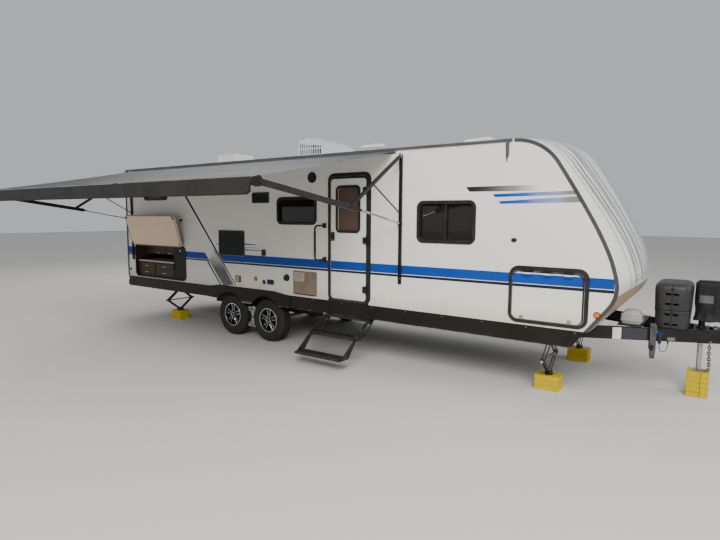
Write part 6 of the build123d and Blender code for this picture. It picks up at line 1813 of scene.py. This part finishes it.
# Columns: first rib from the middle, their step, count and width, then their two y, bottom and top.
battery_ribs = (
    (-0.046, 0.0168, 6, 0.008, -0.050, 0.050, 0.2885, 0.2935),
    (-0.098, 0.0235, 9, 0.006, -0.0965, -0.0930, 0.172, 0.222),
)
battery = bmesh.new()
loops = []
x, y = battery_middle
for z, half_x, half_y in battery_rings:
    outline = rounded_outline(x - half_x, x + half_x, y - half_y, y + half_y, 0.016, 4)
    loops.append([battery.verts.new((*corner, z)) for corner in outline])
join_loops(battery, loops)
close_ends(battery, loops)
battery_shell = make_piece("battery_shell", battery, battery_grey, "caravan", smooth=30)
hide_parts("battery_box")
lid_ribs = bmesh.new()
for first, step, count, width, rear_y, front_y, low, high in battery_ribs:
    for number in range(count):
        rib_x = x + first + number * step
        add_block(lid_ribs, (rib_x, y + rear_y, low), (rib_x + width, y + front_y, high))
make_piece("battery_ribs", lid_ribs, battery_grey, "caravan", bevel=0.0012)


# Tow lead. Seven-core rubber cable out of a gland under the right drawbar channel, hanging in one
# loop to its plug, which is parked upright in a shelf on the channel under a blue cap.
lead_x = -0.690
lead_radius = 0.004
plug_cap_radius = 0.025
cap_blue = (0.005, 0.026, 0.115)
plug_foot, shelf_top, plug_top = -0.048, 0.0213, 0.090
# Columns: back along the channel from the gland, out from its outer face, height.
lead_route = (
    (0, -0.020, -0.050), (0, -0.020, -0.100), (0.020, -0.010, -0.140), (0.056, 0.004, -0.157),
    (0.092, 0.018, -0.140), (0.108, 0.028, -0.098), (0.108, 0.028, -0.048),
)


def beside_drawbar(back, out, z):
    """A point back along the right drawbar channel, and out from its outer face."""
    y = 0.050 + (-0.075 - lead_x) * tan(drawbar_angle)
    return Vector((lead_x - back * cos(drawbar_angle) + out * sin(drawbar_angle),
                   -y - back * sin(drawbar_angle) - out * cos(drawbar_angle), z))


cable_rubber = finish_of("cable_rubber", (0.014, 0.014, 0.014), (0.026, 0.026, 0.026),
                         0.02, 0.55, 0.001, 0.0001)
lead_curve = bpy.data.curves.new("tow_lead", "CURVE")
lead_curve.dimensions = "3D"
lead_spline = lead_curve.splines.new("NURBS")
lead_points = [beside_drawbar(*row) for row in lead_route]
lead_spline.points.add(len(lead_points) - 1)
for point, place in zip(lead_spline.points, lead_points):
    point.co = (*place, 1)
lead_spline.order_u = 3
lead_spline.use_endpoint_u = True
lead_spline.resolution_u = 12
lead_curve.bevel_depth = lead_radius
lead_curve.bevel_resolution = 4
lead_curve.materials.append(cable_rubber)
tow_lead = bpy.data.objects.new("tow_lead", lead_curve)
bpy.context.scene.collection.objects.link(tow_lead)
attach(tow_lead, "caravan")
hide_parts("tow_cable")

plug_black = finish_of("plug_black", (0.014, 0.014, 0.015), (0.030, 0.030, 0.031),
                       0.02, 0.42, 0.001, 0.0001)
cap_share = spread(plug_black, place_along(plug_black, "Z"), shelf_top + 0.0150,
                   shelf_top + 0.0156, 0.0, 1.0)
recolour(plug_black, two_tones(plug_black, cap_share, tone_of(plug_black), cap_blue))
paint(plug_black, "tow_plug")
plug_place = beside_drawbar(0.108, 0.028, 0).xy
gland_place = beside_drawbar(0, -0.020, 0).xy
plug_ribs = bmesh.new()
for rib in round_outline(*plug_place, plug_cap_radius, 20):
    add_rod(plug_ribs, (*rib, shelf_top + 0.018), (*rib, plug_top - 0.006), 0.0022, 8, 0.0014)
add_rod(plug_ribs, (*plug_place, plug_foot - 0.001), (*plug_place, plug_foot - 0.020), 0.0095, 20, 0.0046)
add_rod(plug_ribs, (*gland_place, -0.049), (*gland_place, -0.070), 0.0090, 20, 0.0046)
plug_trim = make_piece("tow_plug_ribs", plug_ribs, plug_black, "caravan", smooth=40)


# Plates on the right drawbar channel. A white and a grey painted plate, both bare, a small rating
# plate under the gas cover, and the flat steel link that hangs from the spring-bar bracket.
# Columns: back along the channel from the tow lead's gland, its end, bottom and top height.
drawbar_plates = (
    ("white_plate", 0.516, 0.612, -0.026, 0.112, (0.74, 0.73, 0.70)),
    ("grey_plate", 0.236, 0.510, -0.024, 0.112, (0.034, 0.037, 0.046)),
    ("small_plate", -0.066, 0.014, -0.020, 0.020, (0.15, 0.15, 0.14)),
)

for plate_name, start, end, low, high, tone in drawbar_plates:
    plate = bmesh.new()
    corners = ((start, low), (end, low), (end, high), (start, high))
    loops = []
    for out in (0.0004, 0.0030):
        loops.append([plate.verts.new(beside_drawbar(back, out, z)) for back, z in corners])
    close_ends(plate, loops)
    join_loops(plate, loops)
    plate_paint = finish_of(plate_name, tone, tuple(0.86 * c for c in tone), 0.06, 0.34, 0.002, 0.0001)
    make_piece(f"drawbar_{plate_name}", plate, plate_paint, "caravan", bevel=0.0008)

# Columns: height, near and far end along the channel, and how far out from it.
hanger_rings = (
    (-0.236, 0.150, 0.196, 0.0260), (-0.128, 0.140, 0.208, 0.0265), (0.080, 0.1385, 0.2115, 0.0265),
    (0.150, 0.1385, 0.2115, 0.0265), (0.1815, 0.158, 0.206, 0.0255),
)
hanger = bmesh.new()
loops = []
for z, start, end, out in hanger_rings:
    corners = ((start, -0.0004), (end, -0.0004), (end, out), (start, out))
    loops.append([hanger.verts.new(beside_drawbar(*corner, z)) for corner in corners])
join_loops(hanger, loops)
close_ends(hanger, loops)
bracket_steel = finish_of("bracket_steel", (0.060, 0.060, 0.062), (0.100, 0.098, 0.096),
                          0.03, 0.42, 0.002, 0.0002, metal=0.3)
make_piece("spring_bar_hanger", hanger, bracket_steel, "caravan", bevel=0.004)
hanger_knobs = bmesh.new()
outward = beside_drawbar(0, 1, 0) - beside_drawbar(0, 0, 0)
for back, z, reach in ((0.186, 0.150, 0.030), (0.152, 0.086, 0.026), (0.174, -0.212, 0.015)):
    knob_at = beside_drawbar(back, 0.0260, z)
    add_rod(hanger_knobs, knob_at, knob_at + outward * 0.014, reach, 28, reach * 0.86)
    add_rod(hanger_knobs, knob_at + outward * 0.013, knob_at + outward * 0.020, reach * 0.45, 6)
make_piece("spring_bar_knobs", hanger_knobs, bracket_steel, "caravan", smooth=35)


# Safety chain. Dark steel links from a bolt on the drawbar's underside down to the yellow blocks,
# where the last of them lie round the jack's foot.
link_wire = 0.0058
link_half = (0.0240, 0.0165)
link_step = 0.0335
wire_outline = round_outline(0, 0, link_wire, 8)
# The line that the chain hangs on, from the bolt to the hook.
chain_line = (
    (-0.2950, -0.1300, -0.0350), (-0.2960, -0.1340, -0.1500), (-0.2900, -0.1230, -0.2700),
    (-0.2930, -0.1080, -0.3500), (-0.3020, -0.0940, -0.3700), (-0.3300, -0.0860, -0.3700),
    (-0.3700, -0.0900, -0.3700), (-0.4200, -0.0860, -0.3700),
)
chain = bmesh.new()
lengths = [0.0]
chain_points = [Vector(p) for p in chain_line]
for first, second in zip(chain_points, chain_points[1:]):
    lengths.append(lengths[-1] + (second - first).length)
link_count = int(lengths[-1] / link_step)
for number in range(link_count):
    at = (number + 0.5) * link_step
    run = max(i for i in range(len(lengths) - 1) if lengths[i] <= at)
    share = (at - lengths[run]) / (lengths[run + 1] - lengths[run])
    middle = chain_points[run].lerp(chain_points[run + 1], share)
    along = (chain_points[run + 1] - chain_points[run]).normalized()
    aside = Vector((1, 0, 0)) if number % 2 else Vector((0, 1, 0))
    aside = (aside - along * aside.dot(along)).normalized()
    up = along.cross(aside)
    loop_rings = []
    for step in range(16):
        angle = 2 * pi * step / 16
        centre = middle + along * (link_half[0] * cos(angle)) + aside * (link_half[1] * 0.85 * sin(angle))
        outward = (along * cos(angle) * link_half[1] + aside * sin(angle) * link_half[0]).normalized()
        loop_rings.append([chain.verts.new(centre + outward * a + up * b) for a, b in wire_outline])
    join_loops(chain, loop_rings + loop_rings[:1])
chain_steel = finish_of("chain_steel", (0.075, 0.062, 0.052), (0.15, 0.13, 0.115),
                        0.012, 0.46, 0.001, 0.0001, metal=0.6)
make_piece("safety_chain", chain, chain_steel, "caravan", smooth=60)
chain_bolt = bmesh.new()
bolt = chain_line[0][:2]
add_rod(chain_bolt, (*bolt, -0.0330), (*bolt, -0.0170), 0.0110, 6)
add_rod(chain_bolt, (*bolt, -0.0180), (*bolt, -0.0100), 0.0190, 20)
make_piece("chain_bolt", chain_bolt, zinc_plate, "caravan", smooth=35)
